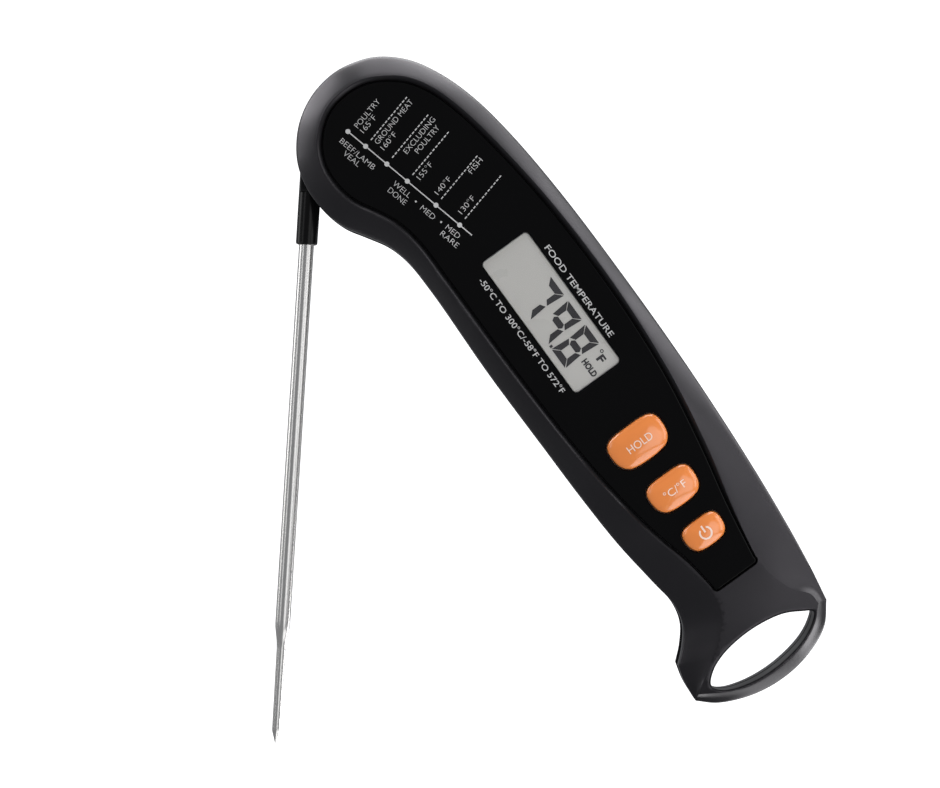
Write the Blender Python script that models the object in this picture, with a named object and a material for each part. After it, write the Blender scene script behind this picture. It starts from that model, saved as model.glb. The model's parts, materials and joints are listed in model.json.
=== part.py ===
"""Folding digital meat thermometer with a hanging ring.

Metres, +Z up. The thermometer stands on its ring end with its face towards -Y, and +X is its right-hand
side seen from the front. The origin is the centre of the flat face of the magnet in its back, and the back
of the body lies just in front of it. The probe stands part-way open. Driving dimensions are in millimetres
and become metres when a mesh is made.
"""

import math

import bmesh
import bpy
from mathutils import Matrix, Vector

MM = 0.001

# depths from the magnet's face (y = 0), all towards the front
FRONT_Y = -19.2
SHOULDER_Y = -15.2
FRONT_RIM_Y = -11.6
BACK_RIM_Y = -11.3
BACK_Y = -0.3
PANEL_FRONT_Y = -18.9
PANEL_BACK_Y = -17.7
RECESS_Y = -17.4
FRONT_ROOF_Y = -16.0
BACK_FLOOR_Y = -2.3
SLOT_BACK_Y = -5.3
BOARD_FRONT_Y = -12.8
BOARD_BACK_Y = -11.8

# the probe's hinge
PIVOT = (-5.65, 63.1)
OPEN_ANGLE = math.radians(39.6)
HUB_R = 8.1
HUB_FRONT_Y = -11.0
HUB_BACK_Y = -5.8
TUBE_Y = -8.4
TUBE_OFFSET = 11.1
SOCKET_END = 31.0
SOCKET_R = 2.35
TUBE_R = 1.65
TIP_R = 1.0
TIP_END = 141.4

# display, buttons, battery and screws
WINDOW = (0.58, 2.4, 12.4, 35.2)
BUTTONS = {
    "hold": (-0.65, -31.7, 13.5, 8.6),
    "unit": (-0.45, -44.4, 11.5, 7.7),
    "power": (-0.50, -55.8, 9.4, 6.4),
}
BUTTON_GAP = 0.35
CELL = (1.2, -34.0)
CELL_R = 10.0
WELL_R = 11.3
CAP_R = 11.0
MAGNET_R = 6.0
CASE_SCREWS = [(-8.6, 41.0), (8.2, 44.0), (-8.2, -62.0), (8.8, -62.0)]
BOSS_R = 2.8
SCREW_R = 1.0
SCREW_HOLE_R = 1.3
GAP = 0.3

# body outline: pairs of a point on the side wall and the point where its bevel meets the front face
SIDE = [
    ((12.6, -83.9), (11.3, -83.0)),
    ((13.1, -81.1), (10.4, -80.6)),
    ((13.8, -77.1), (7.6, -77.0)),
    ((14.5, -72.1), (5.8, -72.0)),
    ((15.35, -65.1), (5.6, -66.0)),
    ((16.4, -54.0), (8.2, -54.0)),
    ((17.35, -40.0), (11.2, -40.2)),
    ((18.1, -21.7), (14.0, -22.2)),
    ((18.3, 0.0), (15.4, 0.0)),
    ((17.9, 22.0), (14.8, 22.0)),
    ((16.6, 39.2), (13.0, 38.8)),
    ((14.7, 50.5), (11.1, 49.4)),
    ((11.8, 59.1), (8.6, 57.2)),
    ((7.9, 65.7), (5.2, 62.5)),
    ((2.7, 70.2), (0.4, 66.1)),
    ((-2.2, 72.15), (-3.2, 67.7)),
    ((-7.3, 72.8), (-7.2, 68.1)),
    ((-13.75, 71.6), (-12.2, 67.4)),
    ((-19.8, 68.1), (-16.4, 64.9)),
    ((-24.6, 62.2), (-19.9, 61.0)),
    ((-26.5, 56.1), (-21.6, 56.5)),
    ((-26.5, 50.0), (-21.7, 51.0)),
    ((-24.95, 44.3), (-20.5, 46.5)),
    ((-22.3, 39.9), (-18.2, 42.2)),
    ((-19.65, 35.35), (-15.9, 37.2)),
    ((-18.2, 30.4), (-14.6, 31.0)),
    ((-17.75, 21.7), (-14.5, 21.7)),
    ((-18.2, 0.0), (-14.4, 0.0)),
    ((-17.95, -22.0), (-13.6, -22.0)),
    ((-17.75, -35.0), (-12.5, -35.0)),
    ((-17.15, -48.0), (-10.5, -48.3)),
    ((-15.85, -59.0), (-7.9, -59.5)),
    ((-15.1, -65.3), (-6.8, -68.0)),
    ((-16.2, -69.9), (-7.9, -72.6)),
    ((-19.0, -73.6), (-11.0, -76.0)),
    ((-22.2, -76.5), (-14.8, -78.9)),
]
HEEL = [
    ((-22.2, -76.5), (-14.8, -78.9)),
    ((-23.2, -80.3), (-18.6, -81.4)),
    ((-23.6, -85.0), (-22.3, -84.0)),
]
FOOT = [
    ((-23.6, -85.0), (-22.3, -84.0)),
    ((-19.95, -88.2), (-19.0, -86.4)),
    ((-13.2, -91.1), (-12.7, -89.2)),
    ((-5.65, -92.2), (-5.65, -90.2)),
    ((1.9, -91.3), (1.4, -89.2)),
    ((8.7, -88.4), (7.7, -86.4)),
    ((12.6, -83.9), (11.3, -83.0)),
]
RING_HOLE = [
    (8.6, -84.1), (6.6, -82.5), (2.6, -80.35), (-4.9, -79.15), (-12.4, -79.9), (-16.8, -81.8),
    (-18.9, -84.2), (-17.4, -86.3), (-12.4, -88.2), (-5.2, -88.9), (2.6, -87.8), (6.8, -85.9),
]
PANEL_SIDE = [
    (5.1, -66.6), (7.1, -54.0), (10.0, -40.0), (12.8, -22.2), (14.1, 0.0), (13.5, 22.0), (11.7, 38.7),
    (9.8, 49.2), (7.4, 56.6), (4.2, 61.6), (-0.2, 65.0), (-3.6, 66.4), (-7.2, 66.8), (-11.9, 66.1),
    (-15.7, 63.8), (-18.8, 60.2), (-20.3, 56.2), (-20.4, 51.4), (-19.3, 47.0), (-17.1, 43.0),
    (-14.7, 38.0), (-13.4, 31.6), (-13.2, 21.7), (-13.1, 0.0), (-12.4, -22.0), (-11.3, -35.0),
    (-9.4, -48.2), (-6.9, -59.0), (-6.0, -66.6),
]
PANEL_FOOT = [(-5.2, -67.8), (4.3, -67.8)]
ARM_ELBOW = [
    (8.1, -1.6), (11.0, 2.1), (12.85, 5.6), (13.35, 8.4), (13.35, 16.0), (8.15, 16.0), (8.15, 12.8), (7.5, 9.4),
]
CAVITY_RIGHT = [
    (10.6, -65.5), (12.4, -58.0), (13.9, -44.0), (14.9, -26.0), (15.2, 0.0), (14.8, 22.0), (13.5, 38.5),
    (11.7, 48.3), (9.3, 55.2), (7.4, 58.6),
]
CAVITY_LEFT = [
    (-11.8, 46.0), (-11.8, 33.0), (-12.0, 30.5), (-12.4, 28.5), (-12.6, 26.0), (-12.6, -50.0),
    (-12.2, -58.0), (-10.6, -65.5),
]


def clear_scene():
    for thing in list(bpy.data.objects):
        bpy.data.objects.remove(thing)


def make_material(name, colour, roughness, metallic=0.0, alpha=1.0):
    material = bpy.data.materials.new(name)
    material.use_nodes = True
    shader = material.node_tree.nodes["Principled BSDF"]
    shader.inputs["Base Color"].default_value = (*colour, 1.0)
    shader.inputs["Roughness"].default_value = roughness
    shader.inputs["Metallic"].default_value = metallic
    shader.inputs["Alpha"].default_value = alpha
    return material


def smooth_path(points, steps):
    """Centripetal Catmull-Rom curve through every point, ends included."""
    pts = [Vector(p) for p in points]
    pts = [2 * pts[0] - pts[1]] + pts + [2 * pts[-1] - pts[-2]]
    made = [pts[1]]
    for i in range(1, len(pts) - 2):
        quad = pts[i - 1 : i + 3]
        knots = [0.0]
        for a, b in zip(quad, quad[1:]):
            knots.append(knots[-1] + math.sqrt((b - a).length))
        for k in range(1, steps + 1):
            t = knots[1] + (knots[2] - knots[1]) * k / steps
            made.append(catmull_point(quad, knots, t))
    return made


def catmull_point(quad, knots, t):
    level = list(quad)
    for span in (1, 2):
        level = [
            ((knots[i + span] - t) * level[i] + (t - knots[i]) * level[i + 1]) / (knots[i + span] - knots[i])
            for i in range(len(level) - 1)
        ]
    return ((knots[2] - t) * level[0] + (t - knots[1]) * level[1]) / (knots[2] - knots[1])


def closed_path(points, steps):
    """Smooth closed curve through every point, with no corner."""
    n = len(points)
    wrapped = [points[(i - 3) % n] for i in range(n + 7)]
    path = smooth_path(wrapped, steps)
    return path[3 * steps : (n + 3) * steps]


def body_loop(blend, steps=3):
    """One level of the body's outline. blend(side, crease) picks the level's point for each pair."""
    loop = []
    for piece in (SIDE, HEEL, FOOT):
        points = [blend(Vector(side), Vector(crease)) for side, crease in piece]
        loop += smooth_path(points, steps)[:-1]
    return loop


def toward_crease(amount):
    return lambda side, crease: side.lerp(crease, amount)


def toward_back(amount):
    """The back's rounding moves in by 3 mm at most, in the same directions as the front's bevel."""

    def blend(side, crease):
        way = crease - side
        return side + way.normalized() * min(3.0, way.length) * amount

    return blend


def offset(loop, distance):
    """The loop moved outwards by distance, or inwards if it is negative. Corners keep their sharpness."""
    area = sum(a.x * b.y - b.x * a.y for a, b in zip(loop, loop[1:] + loop[:1]))
    turn = 1.0 if area > 0 else -1.0
    moved = []
    for i, point in enumerate(loop):
        before = (point - loop[i - 1]).normalized()
        after = (loop[(i + 1) % len(loop)] - point).normalized()
        n1 = Vector((before.y, -before.x)) * turn
        n2 = Vector((after.y, -after.x)) * turn
        moved.append(point + (n1 + n2) * distance / (1.0 + n1.dot(n2)))
    return moved


def circle(centre, radius, count, start=0.0, sweep=360.0):
    """Points of a full circle, or of an arc whose two ends are both included."""
    last = count if sweep == 360.0 else count - 1
    angles = [math.radians(start + sweep * i / last) for i in range(count)]
    return [Vector((centre[0] + radius * math.cos(a), centre[1] + radius * math.sin(a))) for a in angles]


def rounded_rectangle(centre_x, centre_z, width, height, corner, count=4):
    dx, dz = width / 2 - corner, height / 2 - corner
    loop = []
    for i, (sx, sz) in enumerate(((1, 1), (-1, 1), (-1, -1), (1, -1))):
        centre = (centre_x + sx * dx, centre_z + sz * dz)
        loop += circle(centre, corner, count, 90.0 * i, 90.0)
    return loop


def pillow(centre_x, centre_z, width, height, scale=1.0):
    """A button's outline: nearly straight along the top, rounder along the bottom."""
    half = [(0.0, 0.5), (0.385, 0.447), (0.472, 0.33), (0.497, -0.05), (0.44, -0.3), (0.33, -0.44), (0.0, -0.5)]
    points = half + [(-x, z) for x, z in half[-2:0:-1]]
    loop = closed_path(points, 3)
    return [Vector((centre_x + p.x * width * scale, centre_z + p.y * height * scale)) for p in loop]


def add_mesh(name, vertices, faces):
    mesh = bpy.data.meshes.new(name)
    mesh.from_pydata([Vector(v) * MM for v in vertices], [], faces)
    shape = bmesh.new()
    shape.from_mesh(mesh)
    bmesh.ops.recalc_face_normals(shape, faces=shape.faces)
    shape.to_mesh(mesh)
    shape.free()
    made = bpy.data.objects.new(name, mesh)
    bpy.context.scene.collection.objects.link(made)
    return made


def loft(name, levels):
    """Solid through equal loops of (x, z), each given with its depth y."""
    count = len(levels[0][0])
    vertices = [(p.x, y, p.y) for loop, y in levels for p in loop]
    faces = [tuple(range(count)), tuple(range((len(levels) - 1) * count, len(levels) * count))]
    for level in range(len(levels) - 1):
        for i in range(count):
            j = (i + 1) % count
            a, b = level * count, (level + 1) * count
            faces.append((a + i, a + j, b + j, b + i))
    return add_mesh(name, vertices, faces)


def prism(name, loop, y0, y1):
    return loft(name, [(loop, y0), (loop, y1)])


def along_y(centre):
    """Places a turned shape's axis along +Y through the point centre = (x, z)."""
    return Matrix.Translation((centre[0], 0.0, centre[1])) @ Matrix.Rotation(-math.pi / 2, 4, "X")


def turned(name, profile, segments, place, closed=False):
    """Solid of revolution. The profile's (radius, height) points start and end on the axis, or form a ring."""
    vertices = []
    rows = []
    for radius, height in profile:
        if radius == 0.0:
            rows.append([len(vertices)] * segments)
            vertices.append(place @ Vector((0.0, 0.0, height)))
            continue
        rows.append(list(range(len(vertices), len(vertices) + segments)))
        for i in range(segments):
            a = 2 * math.pi * i / segments
            vertices.append(place @ Vector((radius * math.cos(a), radius * math.sin(a), height)))
    pairs = list(zip(rows, rows[1:]))
    if closed:
        pairs.append((rows[-1], rows[0]))
    faces = []
    for low, high in pairs:
        for i in range(segments):
            j = (i + 1) % segments
            corners = dict.fromkeys((low[i], low[j], high[j], high[i]))
            faces.append(tuple(corners))
    return add_mesh(name, vertices, faces)


def cylinder(name, centre, radius, y0, y1, segments=32):
    return prism(name, circle(centre, radius, segments), y0, y1)


def ring_cord(name, centre, major, minor, y):
    """O-ring round an axis along Y."""
    profile = [(major + p.x, y + p.y) for p in circle((0.0, 0.0), minor, 8)]
    return turned(name, profile, 40, along_y(centre), closed=True)


def cable(name, points, radius, sides=8):
    """Round cord along a line of points."""
    path = [Vector(p) for p in points]
    vertices = []
    across = None
    for i, point in enumerate(path):
        ahead = (path[min(i + 1, len(path) - 1)] - path[max(i - 1, 0)]).normalized()
        if across is None:
            across = ahead.orthogonal().normalized()
        across = (across - ahead * across.dot(ahead)).normalized()
        other = ahead.cross(across)
        for k in range(sides):
            a = 2 * math.pi * k / sides
            vertices.append(point + (across * math.cos(a) + other * math.sin(a)) * radius)
    faces = [tuple(range(sides)), tuple(range(len(vertices) - sides, len(vertices)))]
    for i in range(len(path) - 1):
        for k in range(sides):
            n = (k + 1) % sides
            low, high = i * sides, (i + 1) * sides
            faces.append((low + k, low + n, high + n, high + k))
    return add_mesh(name, vertices, faces)


def combine(target, tool, operation):
    """Applies one exact boolean and removes the tool."""
    modifier = target.modifiers.new("combine", "BOOLEAN")
    modifier.operation = operation
    modifier.solver = "EXACT"
    modifier.object = tool
    graph = bpy.context.evaluated_depsgraph_get()
    result = bpy.data.meshes.new_from_object(target.evaluated_get(graph))
    target.modifiers.clear()
    target.data = result
    bpy.data.objects.remove(tool)
    return target


def cut(target, *tools):
    for tool in tools:
        combine(target, tool, "DIFFERENCE")
    return target


def finish(part, material, origin=(0.0, 0.0, 0.0)):
    """Cleans the mesh, gives it its material and smooth shading, and puts its origin where it turns or rests."""
    shape = bmesh.new()
    shape.from_mesh(part.data)
    bmesh.ops.remove_doubles(shape, verts=shape.verts, dist=1e-6)
    bmesh.ops.dissolve_degenerate(shape, edges=shape.edges, dist=1e-6)
    start = Vector(origin) * MM
    bmesh.ops.translate(shape, verts=shape.verts, vec=-start)
    shape.to_mesh(part.data)
    shape.free()
    part.location = start
    part.data.name = part.name
    part.data.materials.clear()
    part.data.materials.append(material)
    for face in part.data.polygons:
        face.use_smooth = True
        face.material_index = 0
    part.data.set_sharp_from_angle(angle=math.radians(32.0))
    return part


def panel_loop():
    return smooth_path(PANEL_SIDE, 2) + [Vector(p) for p in PANEL_FOOT]


def window_loop(grow=0.0, corner=0.9):
    x, z, width, height = WINDOW
    return rounded_rectangle(x, z, width + 2 * grow, height + 2 * grow, corner)


def cavity_loop():
    """The dry space inside the body. It bends round the probe's hub and stays clear of the probe's slot."""
    hub_arc = circle(PIVOT, 10.1, 9, -15.0, -105.0)
    right = smooth_path(CAVITY_RIGHT, 2)
    return right + hub_arc + smooth_path(CAVITY_LEFT, 2)


def slot_loop():
    """Everything outside this body's sealing wall where the probe, its socket and its hub pass."""
    lower = [Vector(p) for p in ((-40.0, -79.5), (-14.1, -79.5), (-14.1, 29.5), (-13.3, 30.8), (-13.3, 47.5))]
    hub_arc = circle(PIVOT, 8.45, 10, 232.0, 113.0)
    upper = [Vector(p) for p in ((7.6, 65.2), (14.0, 71.0), (14.0, 90.0), (-40.0, 90.0))]
    return lower + hub_arc + upper


def make_front_shell(material):
    shell = loft(
        "front_shell",
        [
            (body_loop(toward_crease(0.0)), FRONT_RIM_Y),
            (body_loop(toward_crease(0.0)), SHOULDER_Y),
            (body_loop(toward_crease(0.12)), -16.2),
            (body_loop(toward_crease(0.5)), -17.85),
            (body_loop(toward_crease(0.9)), -19.0),
            (body_loop(toward_crease(1.0)), FRONT_Y),
        ],
    )
    cut(shell, prism("recess", offset(panel_loop(), GAP), RECESS_Y, FRONT_Y - 1.0))
    cavity = prism("cavity", cavity_loop(), FRONT_ROOF_Y, FRONT_RIM_Y + 1.0)
    for centre in CASE_SCREWS:
        cut(cavity, cylinder("boss", centre, BOSS_R, FRONT_ROOF_Y - 1.0, FRONT_RIM_Y + 2.0, 20))
    cut(shell, cavity)
    cut(shell, prism("display_opening", window_loop(2.0, 1.2), RECESS_Y - 0.5, FRONT_ROOF_Y + 0.5))
    for outline in BUTTONS.values():
        loop = offset(pillow(*outline), BUTTON_GAP)
        cut(shell, prism("button_opening", loop, RECESS_Y - 0.5, FRONT_ROOF_Y + 0.5))
    cut(shell, prism("ring_hole", closed_path(RING_HOLE, 3), FRONT_Y - 1.0, FRONT_RIM_Y + 1.0))
    cut(shell, make_seal_shape("seal_groove", 0.15, 1.35, -12.8, FRONT_RIM_Y + 1.0))
    for centre in CASE_SCREWS:
        cut(shell, cylinder("screw_hole", centre, SCREW_HOLE_R, -15.3, FRONT_RIM_Y + 1.0, 16))
    cut(shell, cylinder("pivot_hole", PIVOT, 1.6, -15.2, FRONT_RIM_Y + 1.0, 20))
    lead_x, lead_z = PIVOT[0], PIVOT[1] - 3.75
    cut(shell, cylinder("lead_hole", (lead_x, lead_z), 0.8, -14.2, FRONT_RIM_Y + 1.0, 12))
    channel = [(lead_x, -13.4, lead_z + 0.8), (lead_x, -13.4, 51.0)]
    cut(shell, cable("lead_channel", channel, 0.85, 12))
    return finish(shell, material)


def make_seal_shape(name, inner, outer, y0, y1):
    """A band that follows the cavity's outline, between two distances outside it."""
    band = prism(name, offset(cavity_loop(), outer), y0, y1)
    return cut(band, prism("band_inside", offset(cavity_loop(), inner), y0 - 1.0, y1 + 1.0))


def make_back_shell(material):
    shell = loft(
        "back_shell",
        [
            (body_loop(toward_back(0.0)), BACK_RIM_Y),
            (body_loop(toward_back(0.0)), -4.4),
            (body_loop(toward_back(0.12)), -3.0),
            (body_loop(toward_back(0.42)), -1.5),
            (body_loop(toward_back(0.75)), -0.65),
            (body_loop(toward_back(1.0)), BACK_Y),
        ],
    )
    cavity = prism("cavity", cavity_loop(), BACK_RIM_Y - 1.0, BACK_FLOOR_Y)
    for centre in CASE_SCREWS:
        cut(cavity, cylinder("boss", centre, BOSS_R, BACK_RIM_Y - 2.0, BACK_FLOOR_Y + 1.0, 20))
    cut(cavity, cylinder("magnet_boss", (0.0, 0.0), MAGNET_R + 1.8, -4.2, BACK_FLOOR_Y + 1.0))
    cut(cavity, cylinder("battery_wall", CELL, WELL_R + 2.0, -9.5, BACK_FLOOR_Y + 1.0, 48))
    cut(shell, cavity)
    cut(shell, cylinder("battery_well", CELL, WELL_R, -10.5, BACK_Y + 1.0, 48))
    cut(shell, cylinder("magnet_pocket", (0.0, 0.0), MAGNET_R + GAP, -2.7, BACK_Y + 1.0, 40))
    cut(shell, prism("probe_slot", slot_loop(), BACK_RIM_Y - 1.0, SLOT_BACK_Y))
    hole = closed_path(RING_HOLE, 3)
    draft = [(hole, BACK_RIM_Y - 1.0), (hole, BACK_RIM_Y), (offset(hole, 0.7), -2.0), (offset(hole, 1.2), BACK_Y + 1.0)]
    cut(shell, loft("ring_hole", draft))
    for centre in CASE_SCREWS:
        cut(shell, cylinder("screw_hole", centre, SCREW_HOLE_R, BACK_RIM_Y - 1.0, BACK_Y + 1.0, 16))
        cut(shell, cylinder("screw_seat", centre, 2.3, -2.7, BACK_Y + 1.0, 24))
    cut(shell, cylinder("pivot_hole", PIVOT, 1.6, -7.0, BACK_Y + 1.0, 20))
    cut(shell, cylinder("pivot_seat", PIVOT, 2.7, -2.7, BACK_Y + 1.0, 24))
    cut(shell, cylinder("washer_pocket", PIVOT, 6.5, -6.0, -4.6, 32))
    return finish(shell, material)


def make_face_panel(material):
    panel = prism("face_panel", panel_loop(), PANEL_FRONT_Y, PANEL_BACK_Y)
    cut(panel, prism("window_opening", window_loop(), PANEL_FRONT_Y - 1.0, PANEL_BACK_Y + 1.0))
    for outline in BUTTONS.values():
        loop = offset(pillow(*outline), BUTTON_GAP)
        cut(panel, prism("button_opening", loop, PANEL_FRONT_Y - 1.0, PANEL_BACK_Y + 1.0))
    return finish(panel, material)


def make_display(window_material, glass_material, frame_material, light_material, strip_material):
    x, z, width, height = WINDOW
    finish(prism("display_window", window_loop(-GAP, 0.7), PANEL_FRONT_Y, PANEL_BACK_Y), window_material)
    glass = rounded_rectangle(x, z, width + 3.2, height + 3.4, 0.4, 2)
    finish(prism("lcd_glass", glass, -17.35, -15.55), glass_material)
    frame = prism("lcd_frame", rounded_rectangle(x, z, 18.8, 42.6, 1.2), -15.7, -13.4)
    opening = rounded_rectangle(x, z, width + 4.0, height + 4.0, 0.5, 2)
    cut(frame, prism("frame_opening", opening, -16.7, -12.4))
    finish(frame, frame_material)
    light = rounded_rectangle(x, z + 1.5, 14.6, 35.0, 0.4, 2)
    finish(prism("backlight_plate", light, -15.25, -13.9), light_material)
    strip = rounded_rectangle(x, z - 17.9, 14.0, 2.0, 0.3, 2)
    finish(prism("connector_strip", strip, -15.25, -13.1), strip_material)


def make_board(board_material, chip_material):
    corners = [
        (12.0, 26.0), (13.2, 10.0), (13.4, -30.0), (12.2, -53.6), (5.2, -53.6), (4.6, -60.8),
        (-4.2, -60.8), (-4.6, -53.6), (-11.6, -53.6), (-11.8, 26.0),
    ]
    board = prism("circuit_board", [Vector(p) for p in corners], BOARD_FRONT_Y, BOARD_BACK_Y)
    finish(board, board_material)
    chip = rounded_rectangle(3.0, 16.0, 7.0, 7.0, 0.3, 2)
    finish(prism("controller_chip", chip, -11.5, -10.4), chip_material)


def make_switches(material):
    for name, (x, z, _, _) in BUTTONS.items():
        switch = prism(f"{name}_switch", rounded_rectangle(x, z, 5.0, 5.0, 0.4, 2), -13.9, -13.1)
        combine(switch, cylinder("plunger", (x, z), 1.2, -14.2, -13.5, 16), "UNION")
        finish(switch, material)


def make_buttons(material):
    for name, outline in BUTTONS.items():
        levels = [
            (pillow(*outline, 1.15), -15.0),
            (pillow(*outline, 1.15), -15.7),
            (pillow(*outline), -15.7),
            (pillow(*outline), -19.3),
            (pillow(*outline, 0.965), -19.8),
            (pillow(*outline, 0.86), -20.15),
            (pillow(*outline, 0.6), -20.35),
            (pillow(*outline, 0.3), -20.42),
        ]
        origin = (outline[0], -15.0, outline[1])
        finish(loft(f"{name}_button", levels), material, origin)


def make_battery(cell_material, contact_material, cap_material, seal_material):
    x, z = CELL
    cell = [(0.0, -8.6), (8.6, -8.6), (9.0, -8.3), (9.7, -8.3), (CELL_R, -8.0), (CELL_R, -5.6), (9.8, -5.4), (0.0, -5.4)]
    finish(turned("coin_cell", cell, 40, along_y(CELL)), cell_material)
    blade = [(-4.0, -11.5), (-1.2, -11.5), (-1.2, -11.0), (-3.4, -11.0), (4.2, -9.4), (4.2, -8.95), (-4.0, -10.7)]
    finish(profile_along_z("contact_minus", [(x + u, y) for u, y in blade], z - 1.5, z + 1.5), contact_material)
    clip = [(8.4, -11.5), (10.95, -11.5), (10.95, -5.8), (10.55, -5.8), (10.55, -11.1), (8.4, -11.1)]
    finish(profile_along_z("contact_plus", [(x + u, y) for u, y in clip], z - 1.5, z + 1.5), contact_material)
    cap = turned(
        "battery_cap",
        [
            (0.0, -2.6), (8.3, -2.6), (8.3, -5.0), (10.9, -5.0), (10.9, -3.6), (9.5, -3.6), (9.5, -2.05),
            (CAP_R, -2.05), (CAP_R, -0.9), (CAP_R - 0.3, -0.6), (0.0, -0.6),
        ],
        48,
        along_y(CELL),
    )
    cut(cap, prism("coin_slot", rounded_rectangle(x, z, 15.0, 1.9, 0.9, 4), -1.7, 0.4))
    finish(cap, cap_material, (x, -0.6, z))
    finish(ring_cord("battery_cap_seal", CELL, 10.25, 0.45, -2.82), seal_material, (x, -0.6, z))


def profile_along_z(name, points, z0, z1):
    """A strip whose (x, y) section runs along Z."""
    count = len(points)
    vertices = [(x, y, z0) for x, y in points] + [(x, y, z1) for x, y in points]
    faces = [tuple(range(count)), tuple(range(count, 2 * count))]
    for i in range(count):
        j = (i + 1) % count
        faces.append((i, j, count + j, count + i))
    return add_mesh(name, vertices, faces)


def make_magnet(material):
    profile = [(0.0, -2.4), (5.8, -2.4), (MAGNET_R, -2.2), (MAGNET_R, -0.25), (5.75, 0.0), (0.0, 0.0)]
    finish(turned("back_magnet", profile, 40, along_y((0.0, 0.0))), material)


def make_screw(name, centre, head_r, shank_r, tip_y, material):
    profile = [
        (0.0, tip_y), (shank_r * 0.4, tip_y), (shank_r, tip_y + 0.9), (shank_r, -2.4), (head_r, -2.4),
        (head_r, -1.5), (head_r * 0.8, -1.05), (0.0, -0.95),
    ]
    screw = turned(name, profile, 20, along_y(centre))
    x, z = centre
    length = head_r * 1.3
    cut(screw, prism("recess", rounded_rectangle(x, z, length, 0.5, 0.1, 2), -1.8, 0.0))
    cut(screw, prism("recess", rounded_rectangle(x, z, 0.5, length, 0.1, 2), -1.8, 0.0))
    return finish(screw, material)


def arm_point(across, along, angle=OPEN_ANGLE):
    """A point of the probe arm: across from the hinge towards the tube, along it towards the tip."""
    x = PIVOT[0] - across * math.cos(angle) - along * math.sin(angle)
    z = PIVOT[1] + across * math.sin(angle) - along * math.cos(angle)
    return Vector((x, z))


def along_tube():
    """Places a turned shape's axis along the tube, with height measured from beside the hinge."""
    foot = arm_point(TUBE_OFFSET, 0.0)
    way = arm_point(TUBE_OFFSET, 1.0) - foot
    side = Vector((way.y, 0.0, -way.x))
    ahead = Vector((way.x, 0.0, way.y))
    up = ahead.cross(side)
    turn = Matrix((side, up, ahead)).transposed().to_4x4()
    return Matrix.Translation((foot.x, TUBE_Y, foot.y)) @ turn


def make_probe_arm(material):
    outline = [arm_point(p.x, p.y) for p in circle((0.0, 0.0), HUB_R, 40, 44.7, 287.9)]
    outline += [arm_point(a, s) for a, s in ARM_ELBOW]
    arm = prism("probe_arm", outline, HUB_FRONT_Y, HUB_BACK_Y)
    socket = [
        (0.0, 10.0), (2.2, 10.0), (SOCKET_R + 0.05, 12.0), (SOCKET_R + 0.05, 22.0), (SOCKET_R, 30.7),
        (SOCKET_R - 0.3, SOCKET_END), (0.0, SOCKET_END),
    ]
    combine(arm, turned("socket", socket, 32, along_tube()), "UNION")
    bore = [(0.0, 5.5), (0.8, 5.5), (0.8, 19.7), (1.95, 19.7), (1.95, 33.0), (0.0, 33.0)]
    cut(arm, turned("tube_bore", bore, 24, along_tube()))
    elbow = arm_point(TUBE_OFFSET, 6.2)
    mouth = arm_point(3.53, 1.28)
    route = [(elbow.x, TUBE_Y, elbow.y), (mouth.x, TUBE_Y, mouth.y)]
    cut(arm, cable("lead_bore", route, 0.75, 12))
    cut(arm, cylinder("lead_mouth", mouth, 0.62, HUB_FRONT_Y - 1.0, TUBE_Y, 12))
    cut(arm, cylinder("hub_bore", PIVOT, 2.9, HUB_FRONT_Y - 1.0, HUB_BACK_Y + 1.0, 28))
    groove = [(4.5, HUB_FRONT_Y - 1.0), (6.1, HUB_FRONT_Y - 1.0), (6.1, -10.0), (4.5, -10.0)]
    cut(arm, turned("seal_groove", groove, 36, along_y(PIVOT), closed=True))
    return finish(arm, material, (PIVOT[0], TUBE_Y, PIVOT[1]))


def make_probe(tube_material, bead_material, lead_material):
    pivot = (PIVOT[0], TUBE_Y, PIVOT[1])
    tube = [
        (0.0, TIP_END), (0.88, 138.6), (0.95, 132.0), (TIP_R, 118.3), (TUBE_R, 116.1),
        (TUBE_R, 20.0), (1.3, 20.0), (1.3, 115.3), (0.68, 117.7), (0.68, 135.8), (0.0, 136.5),
    ]
    finish(turned("probe_tube", tube, 28, along_tube()), tube_material, pivot)
    bead = [(0.0, 134.1), (0.3, 134.25), (0.4, 134.6), (0.4, 135.0), (0.3, 135.35), (0.0, 135.5)]
    finish(turned("thermistor", bead, 12, along_tube()), bead_material, pivot)
    route = [(TUBE_OFFSET, 133.7), (TUBE_OFFSET, 60.0), (TUBE_OFFSET, 8.0), (10.85, 6.7), (9.85, 5.6), (4.3, 1.9)]
    points = []
    for across, along in route:
        place = arm_point(across, along)
        points.append((place.x, TUBE_Y, place.y))
    mouth = arm_point(3.53, 1.28)
    points += [(mouth.x, TUBE_Y - 0.4, mouth.y), (mouth.x, -10.8, mouth.y)]
    finish(cable("probe_lead", points, 0.28, 6), lead_material, pivot)


def make_board_lead(material):
    x, z = PIVOT[0], PIVOT[1] - 3.75
    route = [
        (x, -11.9, z), (x, -12.9, z), (x, -13.4, z - 0.9), (x, -13.4, 51.5), (-5.0, -13.5, 44.0),
        (-2.6, -13.6, 34.0), (-0.6, -13.55, 28.5), (0.0, -13.5, 25.2),
    ]
    finish(cable("board_lead", route, 0.4, 8), material)


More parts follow.
